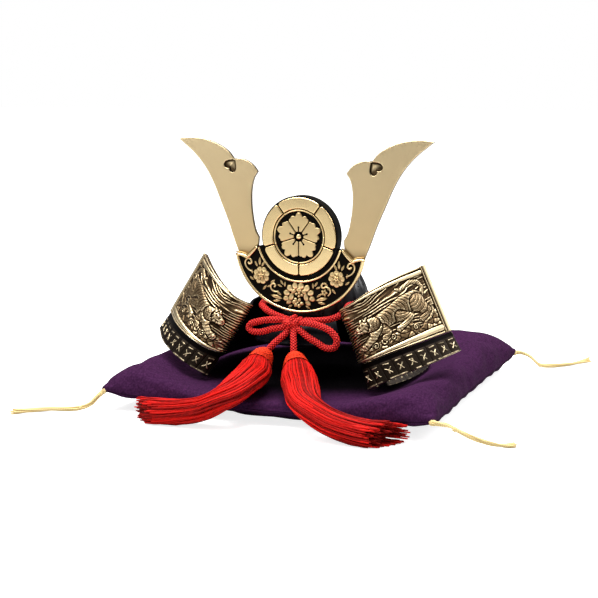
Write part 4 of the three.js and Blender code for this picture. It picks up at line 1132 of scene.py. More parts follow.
def lacing_relief(x, y, height, cell, gilding):
    """Height in mm, and how gilt it is, of a laced plate: a smooth band, dashes, crosses and dividers."""
    column = np.floor(x / cell)
    s = x / cell - column - 0.5
    t = y / height
    scales = 0.35 * np.sqrt(np.clip(1 - (2 * s) ** 2, 0, 1)) * smoothstep(0.80, 0.72, t)
    divider = ridge((np.abs(s) - 0.5) * cell, 0.22) * smoothstep(0.80, 0.74, t)
    dash_tilt = 0.06 * np.sin(column * 2.4)
    dash = smoothstep(0.30, 0.22, np.abs(s)) * ridge((t - 0.66 - dash_tilt * s) * height, 0.42)
    rise = (t - CROSS_ROW) * height
    bow = 0.16 * rise**2 * np.sin(column * 1.9 + 0.6)
    slope_a, slope_b = 0.62 + 0.16 * np.sin(column * 2.7), 0.66 + 0.18 * np.cos(column * 3.3)
    cross_a = ridge(s * cell - rise * slope_a + bow, 0.40)
    cross_b = ridge(s * cell + rise * slope_b - 0.7 * bow, 0.36)
    arm = smoothstep(0.155, 0.12, np.abs(t - CROSS_ROW)) * smoothstep(0.34, 0.26, np.abs(s))
    crosses = np.maximum(cross_a, cross_b) * arm
    edge = smoothstep(0.075, 0.03, t) * smoothstep(0.30, 0.42, lattice(x / 3.1, 0 * y, 17))
    high = 0.12 + scales + 0.35 * dash + 0.55 * crosses + 0.25 * edge - 0.25 * divider
    worn = 0.30 + 0.70 * lattice(x / 1.3, y / 1.1, 21)
    gold = (0.7 * dash + 1.0 * crosses + 0.55 * edge) * worn * gilding
    gilt = 0.07 + 0.9 * gold + (0.5 * gilding - 0.3) * divider + 0.5 * scales - 0.30 * (t > 0.80)
    return high, np.clip(gilt, 0, 1)


def guard_edge(along, z):
    """How far out the neck guard is at a height, and at which angle from the back."""
    top, middle, rim = GUARD_LEVELS
    high, low = (top, middle) if z > middle["z"] else (middle, rim)
    share = (high["z"] - z) / (high["z"] - low["z"])
    level = {key: high[key] + (low[key] - high[key]) * share for key in high}
    angle = np.radians(level["stop"] * along)
    depth = np.where(np.cos(angle) > 0, level["back"], level["front"])
    radius = (np.abs(np.sin(angle) / level["side"]) ** GUARD_ROUNDNESS
              + np.abs(np.cos(angle) / depth) ** GUARD_ROUNDNESS) ** (-1 / GUARD_ROUNDNESS)
    return radius, angle


def make_lame(index):
    """One laced band of the neck guard, whose foot laps over the next one."""
    top, foot = LAME_EDGES[index:index + 2]
    if index + 2 < len(LAME_EDGES):
        foot -= LAME_LAP
    rows, columns = LAME_GRID
    share = np.linspace(0, 1, rows)[:, None]
    along = np.linspace(-1, 1, columns)
    z = foot + (top - foot) * share[:, 0]
    radius, angle = np.stack([guard_edge(along, level) for level in z], axis=1)
    radius = radius + LAME_STEP * (1 - share)
    foot_x, foot_y = radius[0] * np.sin(angle[0]), radius[0] * np.cos(angle[0])
    around = np.cumsum(np.r_[0, np.hypot(np.diff(foot_x), np.diff(foot_y))])
    cells = round(around[-1] / LAME_CELL)
    height = top - foot
    high, gilt = lacing_relief(around[None, :], share * height, height, around[-1] / cells, 0.45)
    outer = radius - 0.55 + 0.8 * high

    def stand(r):
        return stacked(r * np.sin(angle), AXIS_Y + r * np.cos(angle), z[:, None])

    batch = Batch()
    batch.add(stand(outer), grid_faces(rows, columns), tone=gilt)
    # Painted shade: the inside and the borders of each lame are black, standing for the shade there.
    inner = stand(radius - PLATE_THICK)[::3, ::6]
    batch.add(inner, grid_faces(*inner.shape[:2]), slot=1, tone=0.0)
    both = np.stack([stand(outer), stand(radius - PLATE_THICK)])
    for border in (both[:, 0], both[:, -1], both[:, :, 0], both[:, :, -1]):
        batch.add(border, grid_faces(2, border.shape[1]), slot=1, tone=0.0)
    piece = batch.build(f"laced_lame_{index + 1}")
    finish_piece(piece, "dark_bronze", f"neck_guard_lame_{index + 1}", materials=(DARK_BRONZE, INNER_PAINTED_SHADE))


# ---------------------------------------------------------------- cast turn-backs
def on_surface(foot_points, top_points, columns, rows, high, top_share=1.0):
    """Points of a ruled surface between two edges, raised by `high` millimetres along its normal."""
    foot, top = spline(foot_points, columns), spline(top_points, columns)
    share = np.linspace(0, top_share, rows)
    base = foot[:, None] + (top - foot)[:, None] * share[None, :, None]
    along, across = np.gradient(base, axis=0), np.gradient(base, axis=1)
    normal = np.cross(along, across)
    normal /= np.linalg.norm(normal, axis=2, keepdims=True)
    return base + normal * np.asarray(high)[..., None]


def shell_on(name, edges, high, tone, top_share=1.0, coarse=6):
    """A plate whose face is a relief and whose back is plain."""
    columns, rows = high.shape
    face = on_surface(*edges, columns, rows, high, top_share)
    back = on_surface(*edges, columns, rows, np.full(high.shape, -PLATE_THICK), top_share)
    batch = Batch()
    batch.add(face, grid_faces(columns, rows), tone=tone)
    some = np.unique(np.r_[0:columns:coarse, columns - 1])
    few = np.unique(np.r_[0:rows:coarse, rows - 1])
    batch.add(back[np.ix_(some, few)], [f[::-1] for f in grid_faces(len(some), len(few))], tone=0.45)
    through = np.linspace(0, 1, 4)[:, None, None]
    for rim in (np.s_[0], np.s_[-1], np.s_[:, 0], np.s_[:, -1]):
        border = face[rim] + (back[rim] - face[rim]) * through
        batch.add(border, grid_faces(*border.shape[:2]), tone=0.62)
    return outward(batch.build(name))


def plate_mm(u, v):
    """Millimetres along and across a turn-back, from shares."""
    return u * TURNBACK_SIZE[0], v * TURNBACK_SIZE[1]


def segment(x, y, start, end):
    """Distance to a segment, and the share of its length at the nearest point."""
    across, up = end[0] - start[0], end[1] - start[1]
    share = np.clip(((x - start[0]) * across + (y - start[1]) * up) / (across**2 + up**2 + 1e-9), 0, 1)
    return np.hypot(x - start[0] - share * across, y - start[1] - share * up), share


def limb(x, y, chain, wider=0.0):
    """Height of a rounded limb along a chain of (u, v, radius, height)."""
    high = np.zeros_like(x)
    for (u0, v0, r0, h0), (u1, v1, r1, h1) in zip(chain, chain[1:]):
        away, share = segment(x, y, plate_mm(u0, v0), plate_mm(u1, v1))
        radius = r0 + (r1 - r0) * share + wider
        dome = np.sqrt(np.clip(1 - (away / radius) ** 2, 0, 1))
        high = np.maximum(high, (h0 + (h1 - h0) * share) * dome**0.8)
    return high


def stripes(x, y, chain, spacing, depth):
    """Narrow grooves across a limb, bowed like a tiger's stripes."""
    start, end = np.array(plate_mm(*chain[0][:2])), np.array(plate_mm(*chain[-1][:2]))
    way = (end - start) / np.linalg.norm(end - start)
    along = (x - start[0]) * way[0] + (y - start[1]) * way[1]
    across = -(x - start[0]) * way[1] + (y - start[1]) * way[0]
    bowed = along + 0.10 * across**2 + 0.5 * lattice(x / 2.5, y / 2.5, 5)
    wave = np.abs(np.sin(math.pi * bowed / spacing))
    return -depth * (1 - np.clip(wave / 0.45, 0, 1))


def leaf(x, y, middle, size, turn):
    """A pointed leaf with a midrib, from 0 to 1."""
    c, s = math.cos(turn), math.sin(turn)
    a = ((x - middle[0]) * c + (y - middle[1]) * s) / (size[0] / 2)
    b = (-(x - middle[0]) * s + (y - middle[1]) * c) / (size[1] / 2)
    return np.clip(2.2 * (1 - a * a - np.abs(b)), 0, 1) * (1 - 0.35 * ridge(b, 0.25))


def curl(x, y, middle, size, hand):
    """A wave's curl as a spiral ridge."""
    dx, dy = (x - middle[0]) * hand, y - middle[1]
    away, turn = np.hypot(dx, dy) / size, np.arctan2(dy, dx)
    return np.clip(np.cos(2 * math.pi * 1.7 * away - turn), 0, 1) * smoothstep(1.0, 0.8, away)


def stones(x, y):
    """Rounded stones of uneven size, as a jittered cell pattern."""
    rng = np.random.default_rng(11)
    near, second, lift = np.full_like(x, 99.0), np.full_like(x, 99.0), np.zeros_like(x)
    for i in range(STONES["columns"]):
        for j in range(STONES["rows"]):
            sx = (i + 0.5 + 0.9 * (rng.random() - 0.5)) * STONES["wide"]
            sy = (j + 0.5 + 0.9 * (rng.random() - 0.5)) * STONES["tall"]
            tall = rng.random()
            long = 1.1 + 0.7 * rng.random()
            away = np.hypot((x - sx) / long, y - sy + 0.25 * (x - sx) * (tall - 0.5))
            closer = away < near
            second = np.where(closer, near, np.minimum(second, away))
            lift = np.where(closer, tall, lift)
            near = np.where(closer, away, near)
    rounded = np.sqrt(np.clip((second - near) / 1.1, 0, 1))
    return (0.35 + 0.85 * lift) * rounded + 0.15 * lattice(x / 0.8, y / 0.8, 13)


def scenery(u, v):
    """Wind that comes level round the bend, then stones, waves and grass along the foot."""
    x, y = plate_mm(u, v)
    sweep = y - 3.4 * smoothstep(0.1, 0.8, u) + 1.1 * np.sin(x / 8.5 + y / 8)
    wander = 3.0 * lattice(x / 12, y / 5.5, 1) + 0.7 * lattice(x / 4, y / 2, 7)
    streak = (sweep + wander) / WIND_SPACING["bold"]
    number = np.round(streak)
    bold = 1 - np.abs(np.sin(math.pi * streak))
    fine = 1 - np.abs(np.sin(math.pi * (sweep + wander) / WIND_SPACING["fine"] + 2 * lattice(x / 5, y, 8)))
    at_bend = smoothstep(0.26, 0.08, u)
    broken = smoothstep(0.22, 0.62, lattice(x / 6.5 + 9.7 * number, 0.5 + 0 * number, 2))
    whole = np.maximum(broken, 0.8 * at_bend)
    bold = (1.15 + 0.5 * at_bend) * whole * bold ** (1.5 - 0.9 * at_bend)
    fine = 0.22 * fine * (0.4 + 0.6 * whole) * (1 - 0.7 * at_bend)
    ground = bold + fine + 0.5 * lattice(x / 9, y / 7, 3)
    shore = 0.235 + 0.05 * np.sin(x / 5) + 0.03 * np.sin(x / 2.1) + 0.12 * smoothstep(0.7, 0.95, u)
    on_shore = smoothstep(shore + 0.02, shore - 0.02, v) * smoothstep(0.12, 0.24, u)
    ground = ground * (1 - on_shore) + (0.15 + stones(x, y)) * on_shore
    for cu, cv, size, hand in WAVE_CURLS:
        middle = plate_mm(cu, cv)
        within = smoothstep(1.05, 0.9, np.hypot(x - middle[0], y - middle[1]) / size)
        ground = ground * (1 - within) + (0.5 + 0.9 * curl(x, y, middle, size, hand)) * within
    rng = np.random.default_rng(4)
    for cu, cv, count in GRASS_TUFTS:
        root = plate_mm(cu, cv)
        for k in range(count):
            turn = math.radians(20 + 140 * (k + 0.5) / count + 10 * rng.standard_normal())
            length = 4.6 + 2.6 * rng.random()
            reach = 0.55 * length
            middle = (root[0] + math.cos(turn) * reach, root[1] + math.sin(turn) * reach)
            blade = (0.9 + 0.5 * rng.random()) * leaf(x, y, middle, (length, 1.5), turn)
            ground = np.maximum(ground, blade)
    return ground


def turnback_picture(u, v):
    """Height in mm of the cast picture: a prowling tiger over wind, stones, waves and grass."""
    x, y = plate_mm(u, v)
    high = scenery(u, v)
    on_tiger = np.zeros_like(x)
    hairs = x * 0.8 + y * 0.6 + 1.2 * lattice(x / 2, y / 2, 9)
    fur = 0.10 * (lattice(x / 0.8, y / 0.8, 31) - 0.5) + 0.14 * np.sin(2 * math.pi * hairs / FUR_SPACING)
    for name, chain in TIGER_FORMS.items():
        body = limb(x, y, chain)
        inside = smoothstep(0.0, 0.35, body)
        marks = stripes(x, y, chain, STRIPE_SPACING.get(name, 1.9), STRIPE_DEPTH.get(name, 0.55))
        dressed = body + 0.35 * inside + inside * (marks + fur)
        outline = smoothstep(0.0, 0.12, limb(x, y, chain, wider=0.38))
        channel = 1 - (0.7 - 0.4 * on_tiger) * outline
        high = np.where(body > 0.02, np.maximum(dressed, high * 0.3), high * channel)
        on_tiger = np.maximum(on_tiger, inside)
    for u0, v0, radius, height in FACE_SPOTS:
        middle = plate_mm(u0, v0)
        high = high + height * ridge(np.hypot(x - middle[0], y - middle[1]), radius)
    for start, end, radius, depth in FACE_AND_TOE_GROOVES:
        away, _ = segment(x, y, plate_mm(*start), plate_mm(*end))
        high = high - depth * ridge(away, radius)
    return high


def rounded_bar(place, low, high):
    """A half-round ridge between two places, from 0 to 1."""
    share = np.clip((place - low) / np.maximum(high - low, 1e-3), 0, 1)
    return np.sqrt(np.clip(4 * share * (1 - share), 0, 1))


def turnback_frame(u, v):
    """Height of the frame's ridges, and a mask of where the frame covers the picture."""
    x, y = plate_mm(u, v)
    taper = np.clip((u - 0.10) / 0.74, 0.0, 1) ** 0.8
    from_top, from_end = TURNBACK_SIZE[1] - y, TURNBACK_SIZE[0] - x
    along_rails = smoothstep(4.3, 4.7, from_end)
    rails = (  # distance in, lower and upper edge of a ridge, height
        (y, 0.0, 0.25 + 0.75 * taper, 1.0), (y, 0.25 + 1.35 * taper, 0.9 + 3.8 * taper, 1.5),
        (from_top, 0.0, 0.3 + 0.6 * taper, 1.0), (from_top, 0.3 + 1.5 * taper, 0.9 + 3.0 * taper, 1.2),
    )
    high = np.zeros_like(u)
    for place, low, top, height in rails:
        high = np.maximum(high, along_rails * height * rounded_bar(place, low, top) ** 0.4)
    for low, top, height in ((0.0, 2.5, 1.15), (3.0, 3.8, 0.8)):
        high = np.maximum(high, height * rounded_bar(from_end, low, top) ** 0.3)
    covered = np.maximum.reduce([
        smoothstep(1.4 + 4.0 * taper, 1.1 + 3.8 * taper, y),
        smoothstep(1.3 + 3.2 * taper, 1.0 + 3.0 * taper, from_top),
        smoothstep(5.0, 4.6, from_end),
    ])
    return high, covered


def plate_grid(columns, rows):
    """Shares along and across a plate."""
    return np.meshgrid(np.linspace(0, 1, columns), np.linspace(0, 1, rows), indexing="ij")


def make_turnbacks():
    """The two turned-back plates: the picture inside its frame, darker in its hollows."""
    u, v = plate_grid(*TURNBACK_GRID)
    ridges, covered = turnback_frame(u, v)
    picture = 0.72 * turnback_picture(u, v)
    high = np.where(covered > 0.5, ridges, np.maximum(picture * (1 - covered), ridges))
    recess = high - blurred(high, 2.2)
    broad = high - blurred(high, 8.0)
    # Painted highlight: the last term lightens the plate round its bend; the other terms darken its hollows
    # as patina.
    pictured = 0.37 + 1.9 * recess + 0.38 * broad + 0.50 * smoothstep(0.26, 0.1, u)
    framed = smoothstep(0.25, 0.95, ridges)
    tone = np.clip(pictured + (framed - pictured) * covered, 0, 1)
    right = shell_on("turnback_relief_right", (TURNBACK_FOOT, TURNBACK_TOP), high, tone)
    finish_pair(right, "antique_bronze", "turnback", (ANTIQUE_BRONZE,))


def make_strips():
    """The two laced strips under the turn-backs."""
    u, v = plate_grid(*STRIP_GRID)
    x = (u - STRIP_START) / (1 - STRIP_START) * STRIP_SIZE[0] * STRIP_LACED
    cell = STRIP_SIZE[0] * STRIP_LACED / STRIP_CELLS
    high, gilt = lacing_relief(x, v * STRIP_SIZE[1], STRIP_SIZE[1], cell, 1.0)
    edges = (STRIP_FOOT, TURNBACK_FOOT)
    right = shell_on("laced_strip_right", edges, 0.9 * high - 0.2, gilt, 1 - STRIP_TOP_SHARE)
    finish_pair(right, "dark_bronze", "lacing_strip", (DARK_BRONZE,))


# ---------------------------------------------------------------- crest
def arc(center_z, radius, start, end, count):
    """Points (x, z) of an arc about a point on the middle plane."""
    turn = np.linspace(start, end, count)
    return np.column_stack([radius * np.cos(turn), center_z + radius * np.sin(turn)])


def quadratic(start, pull, end, count=14):
    """Points of a curve between two points, pulled towards a third."""
    w = np.linspace(0, 1, count)[:, None]
    return (1 - w) ** 2 * np.array(start) + 2 * w * (1 - w) * np.array(pull) + w**2 * np.array(end)


def bracket_edge():
    """The right-hand bracket-shaped top of the crescent, from its outer corner to its inner one."""
    outer = (CRESCENT["corner_x"], CRESCENT["corner_z"])
    inner = (CRESCENT_INNER["corner_x"], CRESCENT_INNER["corner_z"])
    cusp = (BRACKET_CUSP["x"], BRACKET_CUSP["z"])
    return np.vstack([
        quadratic(outer, (BRACKET_PULL["outer_x"], CRESCENT["corner_z"]), cusp),
        quadratic(cusp, (BRACKET_PULL["inner_x"], BRACKET_PULL["inner_z"]), inner)[1:],
    ])


def crescent_edges():
    """The crescent's outline in four parts: foot, right bracket, inner arc and left bracket."""
    outer_turn = math.atan2(CRESCENT["corner_z"] - CRESCENT["z"], CRESCENT["corner_x"])
    inner_turn = math.atan2(CRESCENT_INNER["corner_z"] - DISC_Z, CRESCENT_INNER["corner_x"])
    outer = arc(CRESCENT["z"], CRESCENT["radius"], -math.pi - outer_turn, outer_turn, 90)
    inner = arc(DISC_Z, CREST_GROUND_INNER, inner_turn, -math.pi - inner_turn, 70)
    right = bracket_edge()
    left = right[::-1] * (-1, 1)
    return outer, right, inner, left


def crest_line(points, y):
    """Points (x, z) as a line in space at one depth."""
    points = np.asarray(points, float)
    return np.column_stack([points[:, 0], np.full(len(points), y), points[:, 1]])


def cast_form(batch, middle, turn, outline, height, tone=0.8, groove=0.0, ruffle=0.0):
    """A raised form on the crest: `outline` says how far out its edge is at each turn."""
    rows, columns = 7, 18
    ring = np.linspace(0, 2 * math.pi, columns, endpoint=False)
    share = np.sin(np.linspace(0, math.pi / 2, rows))[:, None]
    reach = outline(ring)[None, :] * share
    a, b = reach * np.cos(ring), reach * np.sin(ring)
    c, s = math.cos(turn), math.sin(turn)
    dome = np.sqrt(np.clip(1 - share**3.5, 0, 1)) * (1 + ruffle * np.cos(5 * ring)[None, :] * share)
    crease = groove * ridge(b, 0.28) * np.sqrt(np.clip(1 - share**2, 0, 1))
    y = CREST_FRONT_Y + 0.12 - height * dome + crease
    points = stacked(middle[0] + a * c - b * s, y, middle[1] + a * s + b * c)
    toned = tone * (0.03 + 0.97 * smoothstep(1.0, 0.66, share)) * (0.62 + 0.38 * share) - 0.9 * crease
    batch.add(points, grid_faces(rows, columns, close_columns=True), tone=np.broadcast_to(toned, a.shape))


def oval(ring, long, wide):
    """How far out an oval's edge is at each turn."""
    return long * wide / np.sqrt((wide * np.cos(ring)) ** 2 + (long * np.sin(ring)) ** 2)


def pointed(long, wide):
    """A leaf's outline."""
    return lambda ring: oval(ring, long, wide) * (1 - 0.22 * np.abs(np.sin(2 * ring)))


def scalloped(long, wide, lobes):
    """A petal's outline: an oval whose edge is scalloped."""
    return lambda ring: oval(ring, long, wide) * (0.88 + 0.12 * np.abs(np.cos(lobes * ring / 2)))


def side_peony(batch, x, z, size, turned):
    """A round flower: ruffled outer petals, a dark hollow, and a smaller flower inside."""
    for place, count, long, wide, height, tone in PEONY_RINGS:
        petal = scalloped(long * size, wide * size, 6)
        for k in range(count):
            turn = turned + 2 * math.pi * (k + 0.5 * (count == 6)) / count
            middle = (x + place * size * math.cos(turn), z + place * size * math.sin(turn))
            cast_form(batch, middle, turn, petal, height, ruffle=0.2, tone=tone)
    cast_form(batch, (x, z), 0.0, scalloped(0.5, 0.5, 4), 1.3, tone=0.4)


def crest_rims(batch, outer, right):
    """The raised rims of the crescent: its foot, its inner arc, and the two brackets."""
    rim_y = CREST_FRONT_Y - 0.05
    turn = math.atan2(CRESCENT_INNER["corner_z"] - DISC_Z, CRESCENT_INNER["corner_x"]) - 0.02
    middle = (0, CRESCENT["z"])
    outer_rim = (outer - middle) * ((CRESCENT["radius"] - RIM_INSET) / CRESCENT["radius"]) + middle
    batch.tube(crest_line(outer_rim, rim_y), RIM_HALF["outer"], sides=12, tone=0.95)
    inner_rim = arc(DISC_Z, CRESCENT_INNER["radius"] + 0.5, -math.pi - turn, turn, 90)
    batch.tube(crest_line(inner_rim, rim_y), RIM_HALF["inner"], sides=10, tone=0.95)
    taper = 0.55 + 0.45 * np.sin(np.linspace(0, math.pi, len(right)))
    for side in (1, -1):
        edge = right * (side, 1)
        bright = crest_line(edge + (0, -0.35), rim_y)
        # Painted shadow: a dark line just above and behind each bracket's rim, over the horns' roots.
        dark = crest_line(edge + (0, 0.9), CREST_FRONT_Y + 0.35)
        batch.tube(bright, RIM_HALF["bracket"] * taper, sides=12, tone=0.92)
        batch.tube(dark, RIM_HALF["bracket_shadow_line"] * taper, sides=10, tone=0.35)


def make_crest_plate():
    """The crescent: a black ground with gilt rims, leaves, scrolls and flowers."""
    outer, right, inner, left = crescent_edges()
    outline = np.vstack([outer, right[1:], inner, left[:-1]])
    plate = upright_plate("ground", [outline], CREST_FRONT_Y, CREST_THICK, 0.2, 2, CREST_BLACK)
    batch = Batch()
    crest_rims(batch, outer, right)
    for side in (1, -1):
        for x, z, long, wide, turn in CREST_LEAVES:
            turn = math.radians(turn if side > 0 else 180 - turn)
            cast_form(batch, (side * x, z), turn, pointed(long, wide), 0.75, groove=0.3, tone=0.95)
        for own_side, points in CREST_SCROLLS:
            if own_side in (0, side):
                line = crest_line(spline([(side * x, z) for x, z in points], 60), CREST_FRONT_Y - 0.05)
                batch.tube(line, np.linspace(0.38, 0.58, 60), sides=8, tone=0.9)
    for k in range(5):
        turn = 2 * math.pi * k / 5
        middle = (CREST_ROSETTE[0] + 1.2 * math.cos(turn), CREST_ROSETTE[1] + 1.2 * math.sin(turn))
        cast_form(batch, middle, turn, scalloped(1.0, 0.8, 4), 0.8)
    for x, z, long, wide, turn, height, tone in CROWN_PETALS:
        petal = scalloped(CROWN_SWELL * long, CROWN_SWELL * wide, 6)
        cast_form(batch, (x, z), math.radians(turn), petal, height, ruffle=0.12, tone=tone)
    for x, z, size, turned in SIDE_PEONIES:
        side_peony(batch, x, z, size, turned)
    gold = batch.build("gilding")
    gold.data.materials.append(CREST_GOLD)
    finish_piece(merged("crest_crescent", [plate, gold]), "crest_gold", "crest_plate")


def petal_turn(index):
    """The direction of a petal, and of the ring's part over it."""
    return math.pi / 2 + index * 2 * math.pi / PARTS_OF_RING


def petal_outline(index):
    """A petal whose edge is in scallops with nicks between them, and whose sides run straight in."""
    middle = petal_turn(index)
    angles, reaches = np.array(PETAL_EDGE).T
    swing = np.linspace(-angles[-1], angles[-1], 93)
    reach = np.interp(np.abs(swing), angles, reaches)
    turn = middle + np.radians(swing)
    points = np.column_stack([reach * np.cos(turn), DISC_Z + reach * np.sin(turn)])
    root_half = math.pi / PARTS_OF_RING - PETAL_GAP / (2 * PETAL_ROOT)
    inner = arc(DISC_Z, PETAL_ROOT, middle + root_half, middle - root_half, 9)
    return np.vstack([points, inner])


def ring_part_outline(index):
    """One of the ring's parts, with clipped outer corners."""
    half = math.pi / PARTS_OF_RING - 0.016
    middle = petal_turn(index)
    corner = 0.045
    outer = arc(DISC_Z, RING["outer"], middle - half + corner, middle + half - corner, 44)
    inner = arc(DISC_Z, RING["inner"], middle + half - 0.008, middle - half + 0.008, 30)
    ends = [arc(DISC_Z, RING["outer"] - 0.9, turn, turn, 1) for turn in (middle + half, middle - half)]
    return np.vstack([outer, ends[0], inner, ends[1]])


def disc_marks(front):
    """The medallion's fine parts: a thin line with beads, the stamens, and the middle button."""
    batch = Batch()
    gold_line = crest_line(arc(DISC_Z, GOLD_LINE_RADIUS, 0, 2 * math.pi, 120), DISC_FRONT_Y - 0.15)
    batch.tube(gold_line, 0.42, sides=10, tone=0.9)
    reach, half = np.array(STAMEN).T
    bead = np.linspace(-1, 1, 7)
    for index in range(PARTS_OF_RING):
        turn = petal_turn(index)
        stamen = np.column_stack([reach * math.cos(turn), DISC_Z + reach * math.sin(turn)])
        batch.tube(crest_line(stamen, front + 0.1), half, sides=10, tone=0.0)
        gap = turn + math.pi / PARTS_OF_RING
        at = crest_line(arc(DISC_Z, GOLD_LINE_RADIUS, gap, gap, 1), DISC_FRONT_Y - 0.35)
        line = at + np.outer(0.6 * bead, (0, 1, 0))
        batch.tube(line, GOLD_BEAD * np.sqrt(1.02 - bead**2), sides=10, tone=1.0)
    share = np.linspace(0, 1, 10)
    button = stacked(0.0, DISC_FRONT_Y + 0.2 - BUTTON["high"] * share, DISC_Z)
    batch.tube(button, BUTTON["radius"] * np.sqrt(np.clip(1 - share**4, 0, 1)) + 0.01, sides=24, tone=0.95)
    marks = batch.build("marks")
    marks.data.materials.append(CREST_GOLD)
    return marks


def make_crest_disc():
    """The medallion: a black slab with a gilt ring and blossom."""
    edge = arc(DISC_Z, DISC_RADIUS, 0, 2 * math.pi, DISC_STEPS + 1)[:-1]
    pieces = [upright_plate("slab", [edge], DISC_FRONT_Y, DISC_THICK, 0.5, 3, CREST_BLACK)]
    front = DISC_FRONT_Y - RING["raise"]
    for index in range(PARTS_OF_RING):
        for outline, bevel, tone in ((ring_part_outline, 0.6, 0.93), (petal_outline, 0.42, 0.74)):
            edge = outline(index)
            part = upright_plate("gilt_part", [edge], front, RING["raise"] + 0.5, bevel, 4, CREST_GOLD)
            number_points(part.data, "tone", [tone] * len(part.data.vertices))
            pieces.append(part)
    pieces.append(disc_marks(front))
    finish_piece(merged("crest_medallion", pieces), "crest_gold", "crest_disc")


def make_crest_bracket():
    """The hidden block shows its own solid, in black."""
    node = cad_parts["crest_bracket"]
    node.data.materials.clear()
    node.data.materials.append(BLACK_LACQUER)


# ---------------------------------------------------------------- horns
def heart_outline():
    """A heart that points at the horn's notch."""
    half = HEART["half"]
    w = np.linspace(0, 1, 12, endpoint=False)[:, None]
    right = [
        ((0, half), (2, 2.4), (half, 0.6), (half, -1.2)),
        ((half, -1.2), (half, -3.8), (0.8, -3.9), (0, -1.9)),
    ]
    left = [tuple((-x, z) for x, z in reversed(four)) for four in reversed(right)]
    weights = ((1 - w) ** 3, 3 * w * (1 - w) ** 2, 3 * w**2 * (1 - w), w**3)
    curves = [sum(weight * np.array(place) for weight, place in zip(weights, four))
              for four in right + left]
    x, z = np.vstack(curves).T
    turn = math.radians(HEART["turn"])
    c, s = math.cos(turn), math.sin(turn)
    return np.column_stack([HEART["x"] + x * c + z * s, HEART["z"] - x * s + z * c])


def horn_outline():
    """The whole outline of a horn, from its root round its tip and back."""
    edges = [spline(rows, 40) for rows in (HORN_OUTER_EDGE, HORN_UPPER_EDGE, HORN_LOBE, HORN_INNER_EDGE)]
    return np.vstack([HORN_ROOT[1], *[edge[:-1] for edge in edges], edges[-1][-1], HORN_ROOT[0]])


def heart_bed(heart, front):
    """The floor of a blind heart: a shallow hollow, with painted shade at its edge and its lower side."""
    middle = heart.mean(axis=0)
    share = np.linspace(0, 1, HEART_RINGS)
    sizes = np.linspace(1.03, 0.0, HEART_RINGS)
    depth = HEART["depth"] * (1 - 0.75 * share**1.6) + 0.25
    bed = np.stack([crest_line(middle + (heart - middle) * size, front + deep)
                    for size, deep in zip(sizes, depth)])
    fall = bed[..., 2] - middle[1] - 0.6 * (bed[..., 0] - middle[0])
    dark = np.maximum(smoothstep(0.55, 0.2, share)[:, None], smoothstep(0.55, -0.25, fall / HEART["half"]))
    batch = Batch()
    batch.add(bed, grid_faces(HEART_RINGS, len(heart), close_columns=True), patina=0.97 * dark)
    floor = batch.build("heart_bed")
    floor.data.materials.append(SATIN_GOLD)
    return floor


def lean_back(piece, front):
    """Leans a horn back about its foot."""
    lean = math.radians(-HORN_BACK_LEAN)
    foot_y, foot_z = front * MM, HORN_FOOT_Z * MM
    points = points_of(piece.data)
    y, z = points[:, 1] - foot_y, points[:, 2] - foot_z
    points[:, 1] = foot_y + y * math.cos(lean) - z * math.sin(lean)
    points[:, 2] = foot_z + y * math.sin(lean) + z * math.cos(lean)
    piece.data.vertices.foreach_set("co", points.ravel())
    piece.data.update()


def make_horns():
    """The two horns, each with the blind heart cut through its plate and a bed behind it."""
    front = CREST_FRONT_Y + CREST_THICK + GAP
    heart = heart_outline()
    plate = upright_plate("plate", [horn_outline(), heart], front, HORN_THICK, 0.45, 4, SATIN_GOLD)
    # Painted shade: the plate's sides and back darken as they go in from its face.
    inward = points_of(plate.data)[:, 1] / MM - front
    number_points(plate.data, "patina", 0.9 * smoothstep(0.02, 0.25, inward))
    right = merged("horn_blade_right", [plate, heart_bed(heart, front)])
    lean_back(right, front)
    flat_faces(finish_pair(right, "satin_gold", "horn"))


# ---------------------------------------------------------------- cushion
def bulge(s):
    """How full the cushion is at a share of its half-width."""
    return np.maximum(0, 1 - s * s) ** CUSHION_FULLNESS


def pressed(x, y):
    """1 under the helmet, fading to 0 round it."""
    across = np.abs(x / FOOTPRINT["half_x"])
    along = np.abs((y - FOOTPRINT["middle_y"]) / FOOTPRINT["half_y"])
    return 1 - smoothstep(FOOTPRINT["full"], FOOTPRINT["gone"], np.cbrt(across**3 + along**3))


def cushion_shape(steps):
    """The cushion's top and underside as grids over its square, with where each point is on it."""
    grid = np.sin(np.linspace(-1, 1, steps) * math.pi / 2)
    s, t = np.meshgrid(grid, grid, indexing="ij")
    x = s * (CUSHION_HALF - CUSHION_PULL * (1 - t * t))
    y = t * (CUSHION_HALF - CUSHION_PULL * (1 - s * s))
    sagging = np.maximum(s * s, t * t) ** 8 * (1 - np.minimum(s * s, t * t) ** 3)
    seam = CUSHION_SEAM_Z - CUSHION_SEAM_SAG * sagging
    top = seam + (CUSHION_CROWN - CUSHION_SINK * pressed(x, y)) * bulge(s) * bulge(t)
    inward = np.maximum(0, (1 - s * s) * (1 - t * t))
    under = seam * (1 - np.minimum(1, CUSHION_UNDER_DROP * inward**CUSHION_UNDER_FULLNESS))
    return s, t, np.stack([x, y, top], axis=-1), np.stack([x, y, under], axis=-1)


